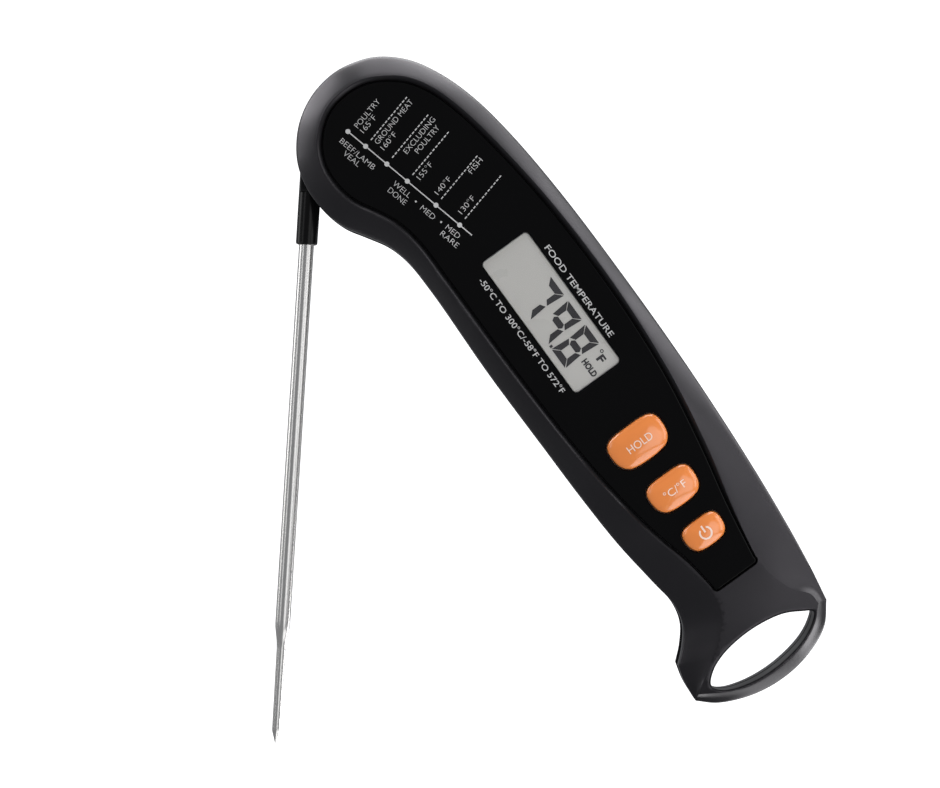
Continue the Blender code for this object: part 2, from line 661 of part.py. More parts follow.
def make_pivot(metal, seal_material):
    bush = [(1.6, -11.3), (2.6, -11.3), (2.6, -5.0), (1.6, -5.0)]
    finish(turned("pivot_bush", bush, 28, along_y(PIVOT), closed=True), metal)
    washer = [(3.2, -5.5), (6.2, -5.5), (6.2, -4.9), (3.2, -4.9)]
    finish(turned("pivot_washer", washer, 36, along_y(PIVOT), closed=True), metal)
    finish(ring_cord("pivot_seal", PIVOT, 5.3, 0.5, -10.8), seal_material)
    make_screw("pivot_screw", PIVOT, 2.4, 1.3, -14.8, metal)


def make_all():
    housing = make_material("housing_plastic", (0.035, 0.035, 0.038), 0.55)
    back = make_material("back_plastic", (0.035, 0.035, 0.038), 0.6)
    gloss = make_material("panel_gloss", (0.006, 0.006, 0.007), 0.12)
    clear = make_material("window_clear", (0.75, 0.77, 0.76), 0.08, 0.0, 0.35)
    glass = make_material("lcd_glass", (0.40, 0.40, 0.39), 0.2)
    frame = make_material("white_plastic", (0.75, 0.75, 0.73), 0.5)
    light = make_material("light_guide", (0.85, 0.86, 0.84), 0.3)
    strip = make_material("connector_rubber", (0.28, 0.16, 0.22), 0.7)
    board = make_material("board_green", (0.02, 0.16, 0.06), 0.4)
    chip = make_material("chip_epoxy", (0.015, 0.015, 0.016), 0.5)
    switch = make_material("switch_black", (0.03, 0.03, 0.03), 0.45)
    orange = make_material("button_orange", (0.80, 0.27, 0.07), 0.25)
    steel = make_material("stainless_steel", (0.62, 0.62, 0.61), 0.22, 1.0)
    screw = make_material("screw_steel", (0.45, 0.45, 0.46), 0.3, 1.0)
    contact = make_material("contact_nickel", (0.66, 0.62, 0.52), 0.3, 1.0)
    cell = make_material("cell_steel", (0.68, 0.68, 0.67), 0.25, 1.0)
    magnet = make_material("magnet_nickel", (0.55, 0.55, 0.56), 0.25, 1.0)
    rubber = make_material("seal_rubber", (0.02, 0.02, 0.02), 0.8)
    arm = make_material("arm_plastic", (0.015, 0.015, 0.016), 0.35)
    bead = make_material("sensor_bead", (0.12, 0.05, 0.03), 0.4)
    wire = make_material("wire_red", (0.45, 0.03, 0.02), 0.5)
    make_front_shell(housing)
    make_back_shell(back)
    make_face_panel(gloss)
    make_display(clear, glass, frame, light, strip)
    make_board(board, chip)
    make_switches(switch)
    make_buttons(orange)
    make_battery(cell, contact, back, rubber)
    make_magnet(magnet)
    finish(make_seal_shape("case_seal", 0.45, 1.05, -12.5, -11.65), rubber)
    for number, centre in enumerate(CASE_SCREWS, 1):
        make_screw(f"case_screw_{number}", centre, 2.0, SCREW_R, -15.0, screw)
    make_probe_arm(arm)
    make_probe(steel, bead, wire)
    make_board_lead(wire)
    make_pivot(steel, rubber)


clear_scene()
make_all()
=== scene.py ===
"""Looks of a folding digital meat thermometer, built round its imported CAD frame.

Metres, +Z up, face towards -Y. The outlines below are in millimetres, as (x, z) pairs in the row frame, and
become metres when a mesh is made.
"""

import json
import math

import bmesh
import bpy
from mathutils import Matrix, Vector
from mathutils.bvhtree import BVHTree
from mathutils.geometry import delaunay_2d_cdt

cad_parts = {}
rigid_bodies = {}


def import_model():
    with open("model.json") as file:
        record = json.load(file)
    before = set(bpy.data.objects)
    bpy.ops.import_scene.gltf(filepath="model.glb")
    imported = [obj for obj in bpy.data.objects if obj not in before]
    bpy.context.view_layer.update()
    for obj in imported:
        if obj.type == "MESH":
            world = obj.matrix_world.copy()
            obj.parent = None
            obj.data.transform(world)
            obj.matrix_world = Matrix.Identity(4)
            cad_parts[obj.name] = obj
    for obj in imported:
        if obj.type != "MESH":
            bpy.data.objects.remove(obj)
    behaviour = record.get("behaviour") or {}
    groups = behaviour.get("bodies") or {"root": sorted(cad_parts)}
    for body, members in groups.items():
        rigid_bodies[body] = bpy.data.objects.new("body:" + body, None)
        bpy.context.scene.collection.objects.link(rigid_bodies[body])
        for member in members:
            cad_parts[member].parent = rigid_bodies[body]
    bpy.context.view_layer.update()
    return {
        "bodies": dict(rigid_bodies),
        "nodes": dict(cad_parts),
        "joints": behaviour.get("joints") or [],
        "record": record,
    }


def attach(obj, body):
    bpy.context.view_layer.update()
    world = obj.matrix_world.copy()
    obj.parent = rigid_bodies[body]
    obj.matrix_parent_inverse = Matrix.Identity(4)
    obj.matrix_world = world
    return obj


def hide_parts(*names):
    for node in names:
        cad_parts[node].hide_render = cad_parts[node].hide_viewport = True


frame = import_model()

MM = 0.001

# depths along Y in millimetres; 0 is the magnet's face and the front is negative
FRONT_Y = -19.2
FRONT_RIM_Y = -11.47
BACK_RIM_Y = -11.43
BACK_Y = -0.3
PANEL_FRONT_Y = -18.9
PANEL_BACK_Y = -17.7
RECESS_Y = -17.4
FRONT_ROOF_Y = -16.0
BACK_FLOOR_Y = -2.3
SLOT_BACK_Y = -5.3
SEAT_Y = -2.7
LCD_Y = -18.48
LEGEND_Y = -20.5
PRINT_LIFT = 0.03

# the hinge and the probe: distances across and along the arm are measured from the pivot
PIVOT = (-5.65, 63.1)
PIVOT_HOLE_R = 1.6
OPEN_ANGLE = math.radians(39.6)
HUB_R = 8.1
HUB_FRONT_Y = -11.0
HUB_BACK_Y = -5.8
TUBE_Y = -8.4
TUBE_OFFSET = 11.1
SOCKET_END = 31.0
SOCKET_R = 2.43
TIP_END = 141.4
TUBE_R = 1.67
TUBE_BORE_R = 1.3
TIP_BORE_R = 0.68

# the face: centre x and z, then width and height
WINDOW = (0.58, 2.4, 12.4, 35.2)
BUTTONS = {
    "hold": (-0.65, -31.7, 13.5, 8.6),
    "unit": (-0.45, -44.4, 11.5, 7.7),
    "power": (-0.50, -55.8, 9.4, 6.4),
}

# the back and the screws
CELL = (1.2, -34.0)
WELL_R = 11.3
CAP_R = 11.0
MAGNET_R = 6.0
CASE_SCREWS = [(-8.6, 41.0), (8.2, 44.0), (-8.2, -62.0), (8.8, -62.0)]
BOSS_R = 2.8
SCREW_HOLE_R = 1.3

# the front face falls back between these two heights as it runs down into the hanging ring
FALL_TOP_Z = -66.0
FALL_END_Z = -84.0

BEVEL_FULL = 3.0
FINE = 8
PANEL_STEPS = 6
LABEL_HEIGHT = 1.25
RULE = 0.24

# outlines: each pair is a point of the side wall and the point of the front crease it runs up to

SIDE = [
    ((12.6, -83.9), (10.6, -83.2)),
    ((13.1, -81.1), (10.4, -80.6)),
    ((13.8, -77.1), (7.6, -77.0)),
    ((14.5, -72.1), (5.8, -72.0)),
    ((15.35, -65.1), (5.6, -66.0)),
    ((16.4, -54.0), (8.2, -54.0)),
    ((17.35, -40.0), (11.2, -40.2)),
    ((18.1, -21.7), (14.0, -22.2)),
    ((18.3, 0.0), (15.4, 0.0)),
    ((17.9, 22.0), (14.8, 22.0)),
    ((16.6, 39.2), (13.0, 38.8)),
    ((14.7, 50.5), (11.1, 49.4)),
    ((11.8, 59.1), (8.6, 57.2)),
    ((7.9, 65.7), (5.2, 62.5)),
    ((2.7, 70.2), (0.4, 66.1)),
    ((-2.2, 72.15), (-3.2, 67.7)),
    ((-7.3, 72.8), (-7.2, 68.1)),
    ((-13.75, 71.6), (-12.2, 67.4)),
    ((-19.8, 68.1), (-16.4, 64.9)),
    ((-24.6, 62.2), (-19.9, 61.0)),
    ((-26.5, 56.1), (-21.6, 56.5)),
    ((-26.5, 50.0), (-21.7, 51.0)),
    ((-24.95, 44.3), (-20.5, 46.5)),
    ((-22.3, 39.9), (-18.2, 42.2)),
    ((-19.65, 35.35), (-15.9, 37.2)),
    ((-18.2, 30.4), (-14.6, 31.0)),
    ((-17.75, 21.7), (-14.5, 21.7)),
    ((-18.2, 0.0), (-14.4, 0.0)),
    ((-17.95, -22.0), (-13.6, -22.0)),
    ((-17.75, -35.0), (-12.5, -35.0)),
    ((-17.15, -48.0), (-10.5, -48.3)),
    ((-15.85, -59.0), (-7.9, -59.5)),
    ((-15.1, -65.3), (-6.8, -68.0)),
    ((-16.2, -69.9), (-7.9, -72.6)),
    ((-19.0, -73.6), (-11.0, -76.0)),
    ((-22.2, -76.5), (-14.8, -78.9)),
]
HEEL = [
    ((-22.2, -76.5), (-14.8, -78.9)),
    ((-23.2, -80.3), (-18.6, -81.4)),
    ((-23.6, -85.0), (-22.3, -84.0)),
]
FOOT = [
    ((-23.6, -85.0), (-22.3, -84.0)),
    ((-19.95, -88.2), (-18.2, -86.3)),
    ((-13.2, -91.1), (-12.5, -88.65)),
    ((-5.65, -92.2), (-5.4, -89.35)),
    ((1.9, -91.3), (2.4, -88.3)),
    ((8.7, -88.4), (7.2, -86.2)),
    ((12.6, -83.9), (10.6, -83.2)),
]

RING_HOLE = [
    (8.6, -84.1), (6.6, -82.5), (2.6, -80.35), (-4.9, -79.15), (-12.4, -79.9), (-16.8, -81.8),
    (-18.9, -84.2), (-17.4, -86.3), (-12.4, -88.2), (-5.2, -88.9), (2.6, -87.8), (6.8, -85.9),
]
PANEL_SIDE = [
    (5.1, -66.6), (7.1, -54.0), (10.0, -40.0), (12.8, -22.2), (14.1, 0.0), (13.5, 22.0), (11.7, 38.7),
    (9.8, 49.2), (7.4, 56.6), (4.2, 61.6), (-0.2, 65.0), (-3.6, 66.4), (-7.2, 66.8), (-11.9, 66.1),
    (-15.7, 63.8), (-18.8, 60.2), (-20.3, 56.2), (-20.4, 51.4), (-19.3, 47.0), (-17.1, 43.0),
    (-14.7, 38.0), (-13.4, 31.6), (-13.2, 21.7), (-13.1, 0.0), (-12.4, -22.0), (-11.3, -35.0),
    (-9.4, -48.2), (-6.9, -59.0), (-6.0, -66.6),
]
PANEL_FOOT = [(-5.2, -67.8), (4.3, -67.8)]
CAVITY_RIGHT = [
    (10.6, -65.5), (12.4, -58.0), (13.9, -44.0), (14.9, -26.0), (15.2, 0.0), (14.8, 22.0), (13.5, 38.5),
    (11.7, 48.3), (9.3, 55.2), (7.4, 58.6),
]
CAVITY_LEFT = [
    (-11.8, 46.0), (-11.8, 33.0), (-12.0, 30.5), (-12.4, 28.5), (-12.6, 26.0), (-12.6, -50.0),
    (-12.2, -58.0), (-10.6, -65.5),
]


def smooth_path(points, steps):
    """Centripetal Catmull-Rom curve through every point, ends included."""
    pts = [Vector(p) for p in points]
    pts = [2 * pts[0] - pts[1]] + pts + [2 * pts[-1] - pts[-2]]
    made = [pts[1]]
    for i in range(1, len(pts) - 2):
        quad = pts[i - 1 : i + 3]
        knots = [0.0]
        for a, b in zip(quad, quad[1:]):
            knots.append(knots[-1] + math.sqrt((b - a).length))
        for k in range(1, steps + 1):
            t = knots[1] + (knots[2] - knots[1]) * k / steps
            made.append(catmull_point(quad, knots, t))
    return made


def catmull_point(quad, knots, t):
    """The curve's point at t, between the middle two of four points."""
    level = list(quad)
    for span in (1, 2):
        level = [
            ((knots[i + span] - t) * a + (t - knots[i]) * b) / (knots[i + span] - knots[i])
            for i, (a, b) in enumerate(zip(level, level[1:]))
        ]
    return ((knots[2] - t) * level[0] + (t - knots[1]) * level[1]) / (knots[2] - knots[1])


def closed_path(points, steps):
    """Smooth closed curve through every point, with no corner."""
    n = len(points)
    wrapped = [points[(i - 3) % n] for i in range(n + 7)]
    path = smooth_path(wrapped, steps)
    return path[3 * steps : (n + 3) * steps]


def body_loop(level):
    """One level of the body's outline. level(side, crease) picks the level's point for each pair."""
    loop = []
    for piece in (SIDE, HEEL, FOOT):
        points = [level(Vector(side), Vector(crease)) for side, crease in piece]
        loop += smooth_path(points, FINE)[:-1]
    return loop


def toward_crease(amount):
    """Moves in from the side wall by a share of the way to the crease."""
    return lambda side, crease: side.lerp(crease, amount)


def inward(distance):
    """Moves in from the side wall by a distance, in the direction of the bevel."""

    def level(side, crease):
        way = crease - side
        return side + way.normalized() * min(distance, way.length * distance / BEVEL_FULL)

    return level


def ease(low, high, value):
    """Smooth step from 0 at low to 1 at high."""
    t = min(1.0, max(0.0, (value - low) / (high - low)))
    return t * t * (3.0 - 2.0 * t)


def offset(loop, distance):
    """The loop moved outwards. distance is one number, or a function of the point."""
    area = sum(a.x * b.y - b.x * a.y for a, b in zip(loop, loop[1:] + loop[:1]))
    turn = 1.0 if area > 0 else -1.0
    moved = []
    for i, point in enumerate(loop):
        before = (point - loop[i - 1]).normalized()
        after = (loop[(i + 1) % len(loop)] - point).normalized()
        n1 = Vector((before.y, -before.x)) * turn
        n2 = Vector((after.y, -after.x)) * turn
        far = distance(point) if callable(distance) else distance
        moved.append(point + (n1 + n2) * far / (1.0 + n1.dot(n2)))
    return moved


def circle(centre, radius, count, start=0.0, sweep=360.0):
    """Points of a full circle, or of an arc whose two ends are both included."""
    last = count if sweep == 360.0 else count - 1
    angles = [math.radians(start + sweep * i / last) for i in range(count)]
    return [Vector((centre[0] + radius * math.cos(a), centre[1] + radius * math.sin(a))) for a in angles]


def rounded_rectangle(centre_x, centre_z, width, height, corner, count):
    dx, dz = width / 2 - corner, height / 2 - corner
    loop = []
    for i, (sx, sz) in enumerate(((1, 1), (-1, 1), (-1, -1), (1, -1))):
        centre = (centre_x + sx * dx, centre_z + sz * dz)
        loop += circle(centre, corner, count, 90.0 * i, 90.0)
    return loop


def pillow(centre_x, centre_z, width, height, scale=1.0):
    """A button's outline: nearly straight along the top, rounder along the bottom."""
    half = [
        (0.0, 0.5), (0.25, 0.49), (0.385, 0.447), (0.472, 0.33), (0.497, -0.05), (0.44, -0.3),
        (0.33, -0.44), (0.0, -0.5),
    ]
    points = half + [(-x, z) for x, z in half[-2:0:-1]]
    loop = closed_path(points, FINE)
    return [Vector((centre_x + p.x * width * scale, centre_z + p.y * height * scale)) for p in loop]


def add_mesh(name, vertices, faces):
    mesh = bpy.data.meshes.new(name)
    mesh.from_pydata([Vector(v) * MM for v in vertices], [], faces)
    shape = bmesh.new()
    shape.from_mesh(mesh)
    bmesh.ops.recalc_face_normals(shape, faces=shape.faces)
    shape.to_mesh(mesh)
    shape.free()
    made = bpy.data.objects.new(name, mesh)
    bpy.context.scene.collection.objects.link(made)
    return made


def loft(name, levels):
    """Solid through equal loops of (x, z), each given with its depth y."""
    count = len(levels[0][0])
    vertices = [(p.x, y, p.y) for loop, y in levels for p in loop]
    faces = [tuple(range(count)), tuple(range((len(levels) - 1) * count, len(levels) * count))]
    for level in range(len(levels) - 1):
        for i in range(count):
            j = (i + 1) % count
            a, b = level * count, (level + 1) * count
            faces.append((a + i, a + j, b + j, b + i))
    return add_mesh(name, vertices, faces)


def prism(name, loop, y0, y1):
    return loft(name, [(loop, y0), (loop, y1)])


def along_y(centre):
    """Places a turned shape's axis along +Y through the point centre = (x, z)."""
    return Matrix.Translation((centre[0], 0.0, centre[1])) @ Matrix.Rotation(-math.pi / 2, 4, "X")


def turned(name, profile, segments, place, closed=False):
    """Solid of revolution from (radius, height) points that start and end on the axis, or form a ring."""
    vertices = []
    rows = []
    for radius, height in profile:
        if radius == 0.0:
            rows.append([len(vertices)] * segments)
            vertices.append(place @ Vector((0.0, 0.0, height)))
            continue
        rows.append(list(range(len(vertices), len(vertices) + segments)))
        for i in range(segments):
            a = 2 * math.pi * i / segments
            vertices.append(place @ Vector((radius * math.cos(a), radius * math.sin(a), height)))
    pairs = list(zip(rows, rows[1:]))
    if closed:
        pairs.append((rows[-1], rows[0]))
    faces = []
    for low, high in pairs:
        for i in range(segments):
            j = (i + 1) % segments
            corners = dict.fromkeys((low[i], low[j], high[j], high[i]))
            faces.append(tuple(corners))
    return add_mesh(name, vertices, faces)


def cylinder(name, centre, radius, y0, y1, segments=64):
    return prism(name, circle(centre, radius, segments), y0, y1)


def mouth(name, centre, radius, y_in, y_face, lip):
    """Cutter for a round hole from y_in out through the back face at y_face, with a small chamfer."""
    profile = [
        (0.0, y_in), (radius, y_in), (radius, y_face - lip), (radius + lip, y_face),
        (radius + lip, y_face + 1.0), (0.0, y_face + 1.0),
    ]
    return turned(name, profile, 64, along_y(centre))


def combine(target, tool, operation):
    """Applies one exact boolean and removes the tool."""
    modifier = target.modifiers.new("combine", "BOOLEAN")
    modifier.operation = operation
    modifier.solver = "EXACT"
    modifier.object = tool
    graph = bpy.context.evaluated_depsgraph_get()
    result = bpy.data.meshes.new_from_object(target.evaluated_get(graph))
    target.modifiers.clear()
    target.data = result
    bpy.data.objects.remove(tool)


def cut(target, tool):
    combine(target, tool, "DIFFERENCE")


def sag(x, z):
    """How far the front face falls back, in millimetres, as it runs down into the hanging ring."""
    return ease(FALL_TOP_Z, FALL_END_Z, z) * (0.4 + 2.3 * ((x + 5.3) / 17.5) ** 2)


def settle_front(thing):
    """Lets everything ahead of the side wall follow the fall of the front face."""
    for vertex in thing.data.vertices:
        x, y, z = (c / MM for c in vertex.co)
        share = ease(-14.0, -18.6, y)
        vertex.co.y += sag(x, z) * share * MM
    return thing


def finish(piece, material, sharp=30.0):
    """Cleans the mesh, shades it smooth between its sharp edges, and gives it its material."""
    shape = bmesh.new()
    shape.from_mesh(piece.data)
    bmesh.ops.remove_doubles(shape, verts=shape.verts, dist=1e-6)
    bmesh.ops.dissolve_degenerate(shape, edges=shape.edges, dist=1e-6)
    shape.to_mesh(piece.data)
    shape.free()
    piece.data.name = piece.name
    piece.data.materials.clear()
    piece.data.materials.append(material)
    for face in piece.data.polygons:
        face.use_smooth = True
        face.material_index = 0
    piece.data.set_sharp_from_angle(angle=math.radians(sharp))
    normals = piece.modifiers.new("normals", "WEIGHTED_NORMAL")
    normals.keep_sharp = True
    normals.weight = 80
    return piece


def front_body():
    """The front half's outer form: side wall, rounded shoulder, bevel and front face."""
    levels = [
        (inward(0.3), FRONT_RIM_Y),
        (inward(0.09), -11.7),
        (toward_crease(0.0), -11.95),
        (toward_crease(0.0), -13.4),
        (toward_crease(0.0), -14.9),
        (toward_crease(0.01), -15.2),
        (toward_crease(0.04), -15.5),
        (toward_crease(0.09), -15.83),
        (toward_crease(0.17), -16.24),
        (toward_crease(0.34), -16.96),
        (toward_crease(0.52), -17.66),
        (toward_crease(0.70), -18.3),
        (toward_crease(0.86), -18.82),
        (toward_crease(0.95), -19.07),
        (toward_crease(0.985), -19.15),
        (toward_crease(1.0), FRONT_Y),
    ]
    rings = [(body_loop(level), y) for level, y in levels]
    body = loft("front_body", rings)
    shape = bmesh.new()
    shape.from_mesh(body.data)
    caps = [f for f in shape.faces if len(f.verts) > 4 and f.calc_center_median().y < -19.0 * MM]
    bmesh.ops.delete(shape, geom=caps, context="FACES_ONLY")
    outline = rings[-1][0]
    points, faces = filled(outline, FALL_TOP_Z, 1.1)
    made = [shape.verts.new(Vector((p.x, FRONT_Y, p.y)) * MM) for p in points]
    for face in faces:
        shape.faces.new([made[i] for i in face])
    bmesh.ops.remove_doubles(shape, verts=shape.verts, dist=2e-6)
    bmesh.ops.recalc_face_normals(shape, faces=shape.faces)
    shape.to_mesh(body.data)
    shape.free()
    return settle_front(body)


def filled(outline, below, spacing):
    """Triangles that fill an outline, with a grid of inner points below a height so that it can curve."""
    points = list(outline)
    edges = list(zip(outline, outline[1:] + outline[:1]))
    x = min(p.x for p in outline)
    while x < max(p.x for p in outline):
        z = min(p.y for p in outline)
        while z < below:
            spot = Vector((x, z))
            if inside(spot, edges) and min((spot - p).length for p in outline) > spacing * 0.6:
                points.append(spot)
            z += spacing
        x += spacing
    ring = list(range(len(outline)))
    corners, _, triangles = delaunay_2d_cdt(points, [], [ring], 1, 1e-5)[:3]
    return corners, triangles


def inside(spot, edges):
    """Whether a closed set of edges goes round the spot."""
    crossings = 0
    for p, q in edges:
        if (p.y > spot.y) != (q.y > spot.y):
            if spot.x < p.x + (q.x - p.x) * (spot.y - p.y) / (q.y - p.y):
                crossings += 1
    return crossings % 2 == 1


def panel_loop():
    """The face panel's edge, with its two lower corners rounded off."""
    radius = 0.9
    loop = smooth_path(PANEL_SIDE, PANEL_STEPS)
    for (x, z), start in zip(PANEL_FOOT, (190.0, 270.0)):
        loop += circle((x, z + radius), radius, 5, start, 80.0)
    return loop


def groove_width(point):
    """The groove round the panel narrows towards the ring."""
    return 0.25 + 0.75 * ease(-67.0, -40.0, point.y)


def window_loop(grow=0.0, corner=1.0):
    """The display window's outline, grown on every side."""
    x, z, width, height = WINDOW
    return rounded_rectangle(x, z, width + 2 * grow, height + 2 * grow, corner, 8)


def cavity_loop():
    """The inside wall that both halves of the case share."""
    hub_arc = circle(PIVOT, 10.1, 25, -15.0, -105.0)
    return smooth_path(CAVITY_RIGHT, 4) + hub_arc + smooth_path(CAVITY_LEFT, 3)


def slot_loop():
    """The probe's slot: a straight run down the left side and the round space for the hub."""
    lower = [
        Vector(p) for p in ((-40.0, -79.5), (-14.1, -79.5), (-14.1, 29.5), (-13.3, 30.8), (-13.3, 47.5))
    ]
    hub_arc = circle(PIVOT, 8.45, 30, 232.0, 113.0)
    upper = [Vector(p) for p in ((7.6, 65.2), (14.0, 71.0), (14.0, 90.0), (-40.0, 90.0))]
    return lower + hub_arc + upper


def ring_hole_cutter(faces_front):
    """The hanging ring's opening, with a rounded lip at the face and a small one at the parting."""
    hole = closed_path(RING_HOLE, FINE)
    if faces_front:
        levels = [
            (0.25, FRONT_RIM_Y + 1.0), (0.25, FRONT_RIM_Y), (0.0, -11.9), (0.0, -18.2), (0.1, -18.65),
            (0.3, -18.95), (0.6, -19.15), (1.0, -19.32), (1.0, FRONT_Y - 2.0),
        ]
        return settle_front(loft("ring_hole", [(offset(hole, grow), y) for grow, y in levels]))
    levels = [
        (0.25, BACK_RIM_Y - 1.0), (0.25, BACK_RIM_Y), (0.0, -11.0), (0.3, -7.0), (0.55, -3.5), (0.7, -1.8),
        (0.82, -1.2), (1.05, -0.7), (1.35, -0.35), (1.7, -0.15), (1.7, BACK_Y + 1.0),
    ]
    return loft("ring_hole", [(offset(hole, grow), y) for grow, y in levels])


def make_front_shell(material):
    """The front half: panel recess, display and button openings, screw bosses and its half of the ring."""
    shell = front_body()
    shell.name = "front_housing"
    panel = panel_loop()
    recess = [
        (offset(panel, 0.12), RECESS_Y),
        (offset(panel, 0.12), -18.1),
        (offset(panel, lambda p: 0.12 + 0.12 * groove_width(p)), -18.3),
        (offset(panel, lambda p: 0.12 + groove_width(p)), -19.22),
        (offset(panel, lambda p: 0.12 + 1.2 * groove_width(p)), -19.6),
    ]
    cut(shell, loft("recess", recess))
    cavity = prism("cavity", cavity_loop(), FRONT_ROOF_Y, FRONT_RIM_Y + 1.0)
    for centre in CASE_SCREWS:
        cut(cavity, cylinder("boss", centre, BOSS_R, FRONT_ROOF_Y - 1.0, FRONT_RIM_Y + 2.0, 32))
    cut(shell, cavity)
    cut(shell, prism("display_opening", window_loop(2.0, 1.2), RECESS_Y - 0.5, FRONT_ROOF_Y + 0.5))
    for outline in BUTTONS.values():
        opening = offset(pillow(*outline), 0.3)
        cut(shell, prism("button_opening", opening, RECESS_Y - 0.5, FRONT_ROOF_Y + 0.5))
    cut(shell, ring_hole_cutter(True))
    for centre in CASE_SCREWS:
        cut(shell, cylinder("screw_hole", centre, SCREW_HOLE_R, -15.3, FRONT_RIM_Y + 1.0, 24))
    cut(shell, cylinder("pivot_hole", PIVOT, PIVOT_HOLE_R, -15.2, FRONT_RIM_Y + 1.0, 24))
    finish(shell, material)
    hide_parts("front_shell")
    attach(shell, "body")


def make_back_shell(material):
    """The back half: rounded edge, battery well, magnet pocket, probe slot and the screws' seats."""
    levels = [
        (inward(0.3), BACK_RIM_Y),
        (inward(0.09), -11.2),
        (inward(0.0), -10.95),
        (inward(0.0), -7.5),
        (inward(0.0), -4.6),
        (inward(0.10), -3.75),
        (inward(0.32), -2.95),
        (inward(0.70), -2.15),
        (inward(1.20), -1.45),
        (inward(1.75), -0.93),
        (inward(2.35), -0.55),
        (inward(2.80), -0.38),
        (inward(3.30), BACK_Y),
    ]
    shell = loft("back_housing", [(body_loop(level), y) for level, y in levels])
    cavity = prism("cavity", cavity_loop(), BACK_RIM_Y - 1.0, BACK_FLOOR_Y)
    for centre in CASE_SCREWS:
        cut(cavity, cylinder("boss", centre, BOSS_R, BACK_RIM_Y - 2.0, BACK_FLOOR_Y + 1.0, 32))
    cut(cavity, cylinder("magnet_boss", (0.0, 0.0), MAGNET_R + 1.8, -4.2, BACK_FLOOR_Y + 1.0))
    cut(cavity, cylinder("battery_wall", CELL, WELL_R + 2.0, -9.5, BACK_FLOOR_Y + 1.0))
    cut(shell, cavity)
    cut(shell, mouth("battery_well", CELL, WELL_R, -10.5, BACK_Y, 0.35))
    cut(shell, mouth("magnet_pocket", (0.0, 0.0), MAGNET_R + 0.2, SEAT_Y, BACK_Y, 0.2))
    slot = slot_loop()
    slot_levels = [(slot, BACK_RIM_Y - 1.0), (slot, -5.7), (offset(slot, -0.4), SLOT_BACK_Y)]
    cut(shell, loft("probe_slot", slot_levels))
    cut(shell, ring_hole_cutter(False))
    for centre in CASE_SCREWS:
        cut(shell, cylinder("screw_hole", centre, SCREW_HOLE_R, BACK_RIM_Y - 1.0, BACK_Y + 1.0, 24))
        cut(shell, mouth("screw_seat", centre, 2.3, SEAT_Y, BACK_Y, 0.25))
    cut(shell, cylinder("pivot_hole", PIVOT, PIVOT_HOLE_R, -7.0, BACK_Y + 1.0, 24))
    cut(shell, mouth("pivot_seat", PIVOT, 2.7, SEAT_Y, BACK_Y, 0.25))
    cut(shell, cylinder("washer_pocket", PIVOT, 6.5, -6.0, -4.6))
    finish(shell, material)
    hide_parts("back_shell")
    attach(shell, "body")


def make_face_panel(material):
    """The gloss panel, with a rounded rim and close openings for the window and the buttons."""
    edge = panel_loop()
    levels = [(0.0, PANEL_BACK_Y), (0.0, -18.6), (-0.05, -18.75), (-0.16, -18.86), (-0.34, PANEL_FRONT_Y)]
    panel = loft("printed_panel", [(offset(edge, grow), y) for grow, y in levels])
    cut(panel, prism("window_opening", window_loop(), PANEL_FRONT_Y - 1.0, PANEL_BACK_Y + 1.0))
    for outline in BUTTONS.values():
        close, flared = offset(pillow(*outline), 0.28), offset(pillow(*outline), 0.45)
        hole = [
            (close, PANEL_BACK_Y + 1.0), (close, -18.75), (flared, PANEL_FRONT_Y),
            (flared, PANEL_FRONT_Y - 1.0),
        ]
        cut(panel, loft("button_opening", hole))
    finish(panel, material)
    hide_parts("face_panel")
    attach(panel, "body")


def make_window(material):
    levels = [
        (window_loop(-0.06), -18.6), (window_loop(-0.06), -18.82), (window_loop(-0.14), PANEL_FRONT_Y),
    ]
    window = finish(loft("clear_window", levels), material)
    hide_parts("display_window")
    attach(window, "body")


def make_lcd(material):
    """The display cell: a wide body behind the panel and a raised face that fills the window."""
    x, z, width, height = WINDOW
    cell = rounded_rectangle(x, z, width + 3.2, height + 3.4, 1.0, 8)
    levels = [
        (offset(cell, -0.15), -15.55), (cell, -15.7), (cell, -17.2), (offset(cell, -0.15), -17.35),
        (window_loop(-0.1), -17.35), (window_loop(-0.1), LCD_Y + 0.05), (window_loop(-0.15), LCD_Y),
    ]
    lcd = finish(loft("lcd_cell", levels), material)
    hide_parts("lcd_glass")
    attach(lcd, "body")


def make_buttons(material):
    """Each key is a crowned pillow: a flange inside, steep rounded sides, then a shallow dome."""
    profile = [
        (1.15, -15.0), (1.15, -15.7), (1.0, -15.7), (1.0, -18.9), (0.997, -19.05), (0.985, -19.25),
        (0.965, -19.4), (0.935, -19.55), (0.89, -19.7), (0.82, -19.86), (0.74, -19.99), (0.64, -20.12),
        (0.52, -20.23), (0.4, -20.32), (0.28, -20.38), (0.14, -20.42), (0.04, -20.43),
    ]
    made = {}
    for name, outline in BUTTONS.items():
        key = loft(f"{name}_cap", [(pillow(*outline, scale), y) for scale, y in profile])
        finish(key, material, 40.0)
        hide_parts(f"{name}_button")
        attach(key, f"{name}_key")
        made[name] = key
    return made


def arm_point(across, along):
    """A point of the probe arm: across from the hinge towards the tube, along it towards the tip."""
    cos, sin = math.cos(OPEN_ANGLE), math.sin(OPEN_ANGLE)
    return Vector((PIVOT[0] - across * cos - along * sin, PIVOT[1] + across * sin - along * cos))


def along_tube():
    """Places a turned shape's axis along the tube, with height measured from beside the hinge."""
    foot = arm_point(TUBE_OFFSET, 0.0)
    way = arm_point(TUBE_OFFSET, 1.0) - foot
    side = Vector((way.y, 0.0, -way.x))
    ahead = Vector((way.x, 0.0, way.y))
    turn = Matrix((side, ahead.cross(side), ahead)).transposed().to_4x4()
    return Matrix.Translation((foot.x, TUBE_Y, foot.y)) @ turn


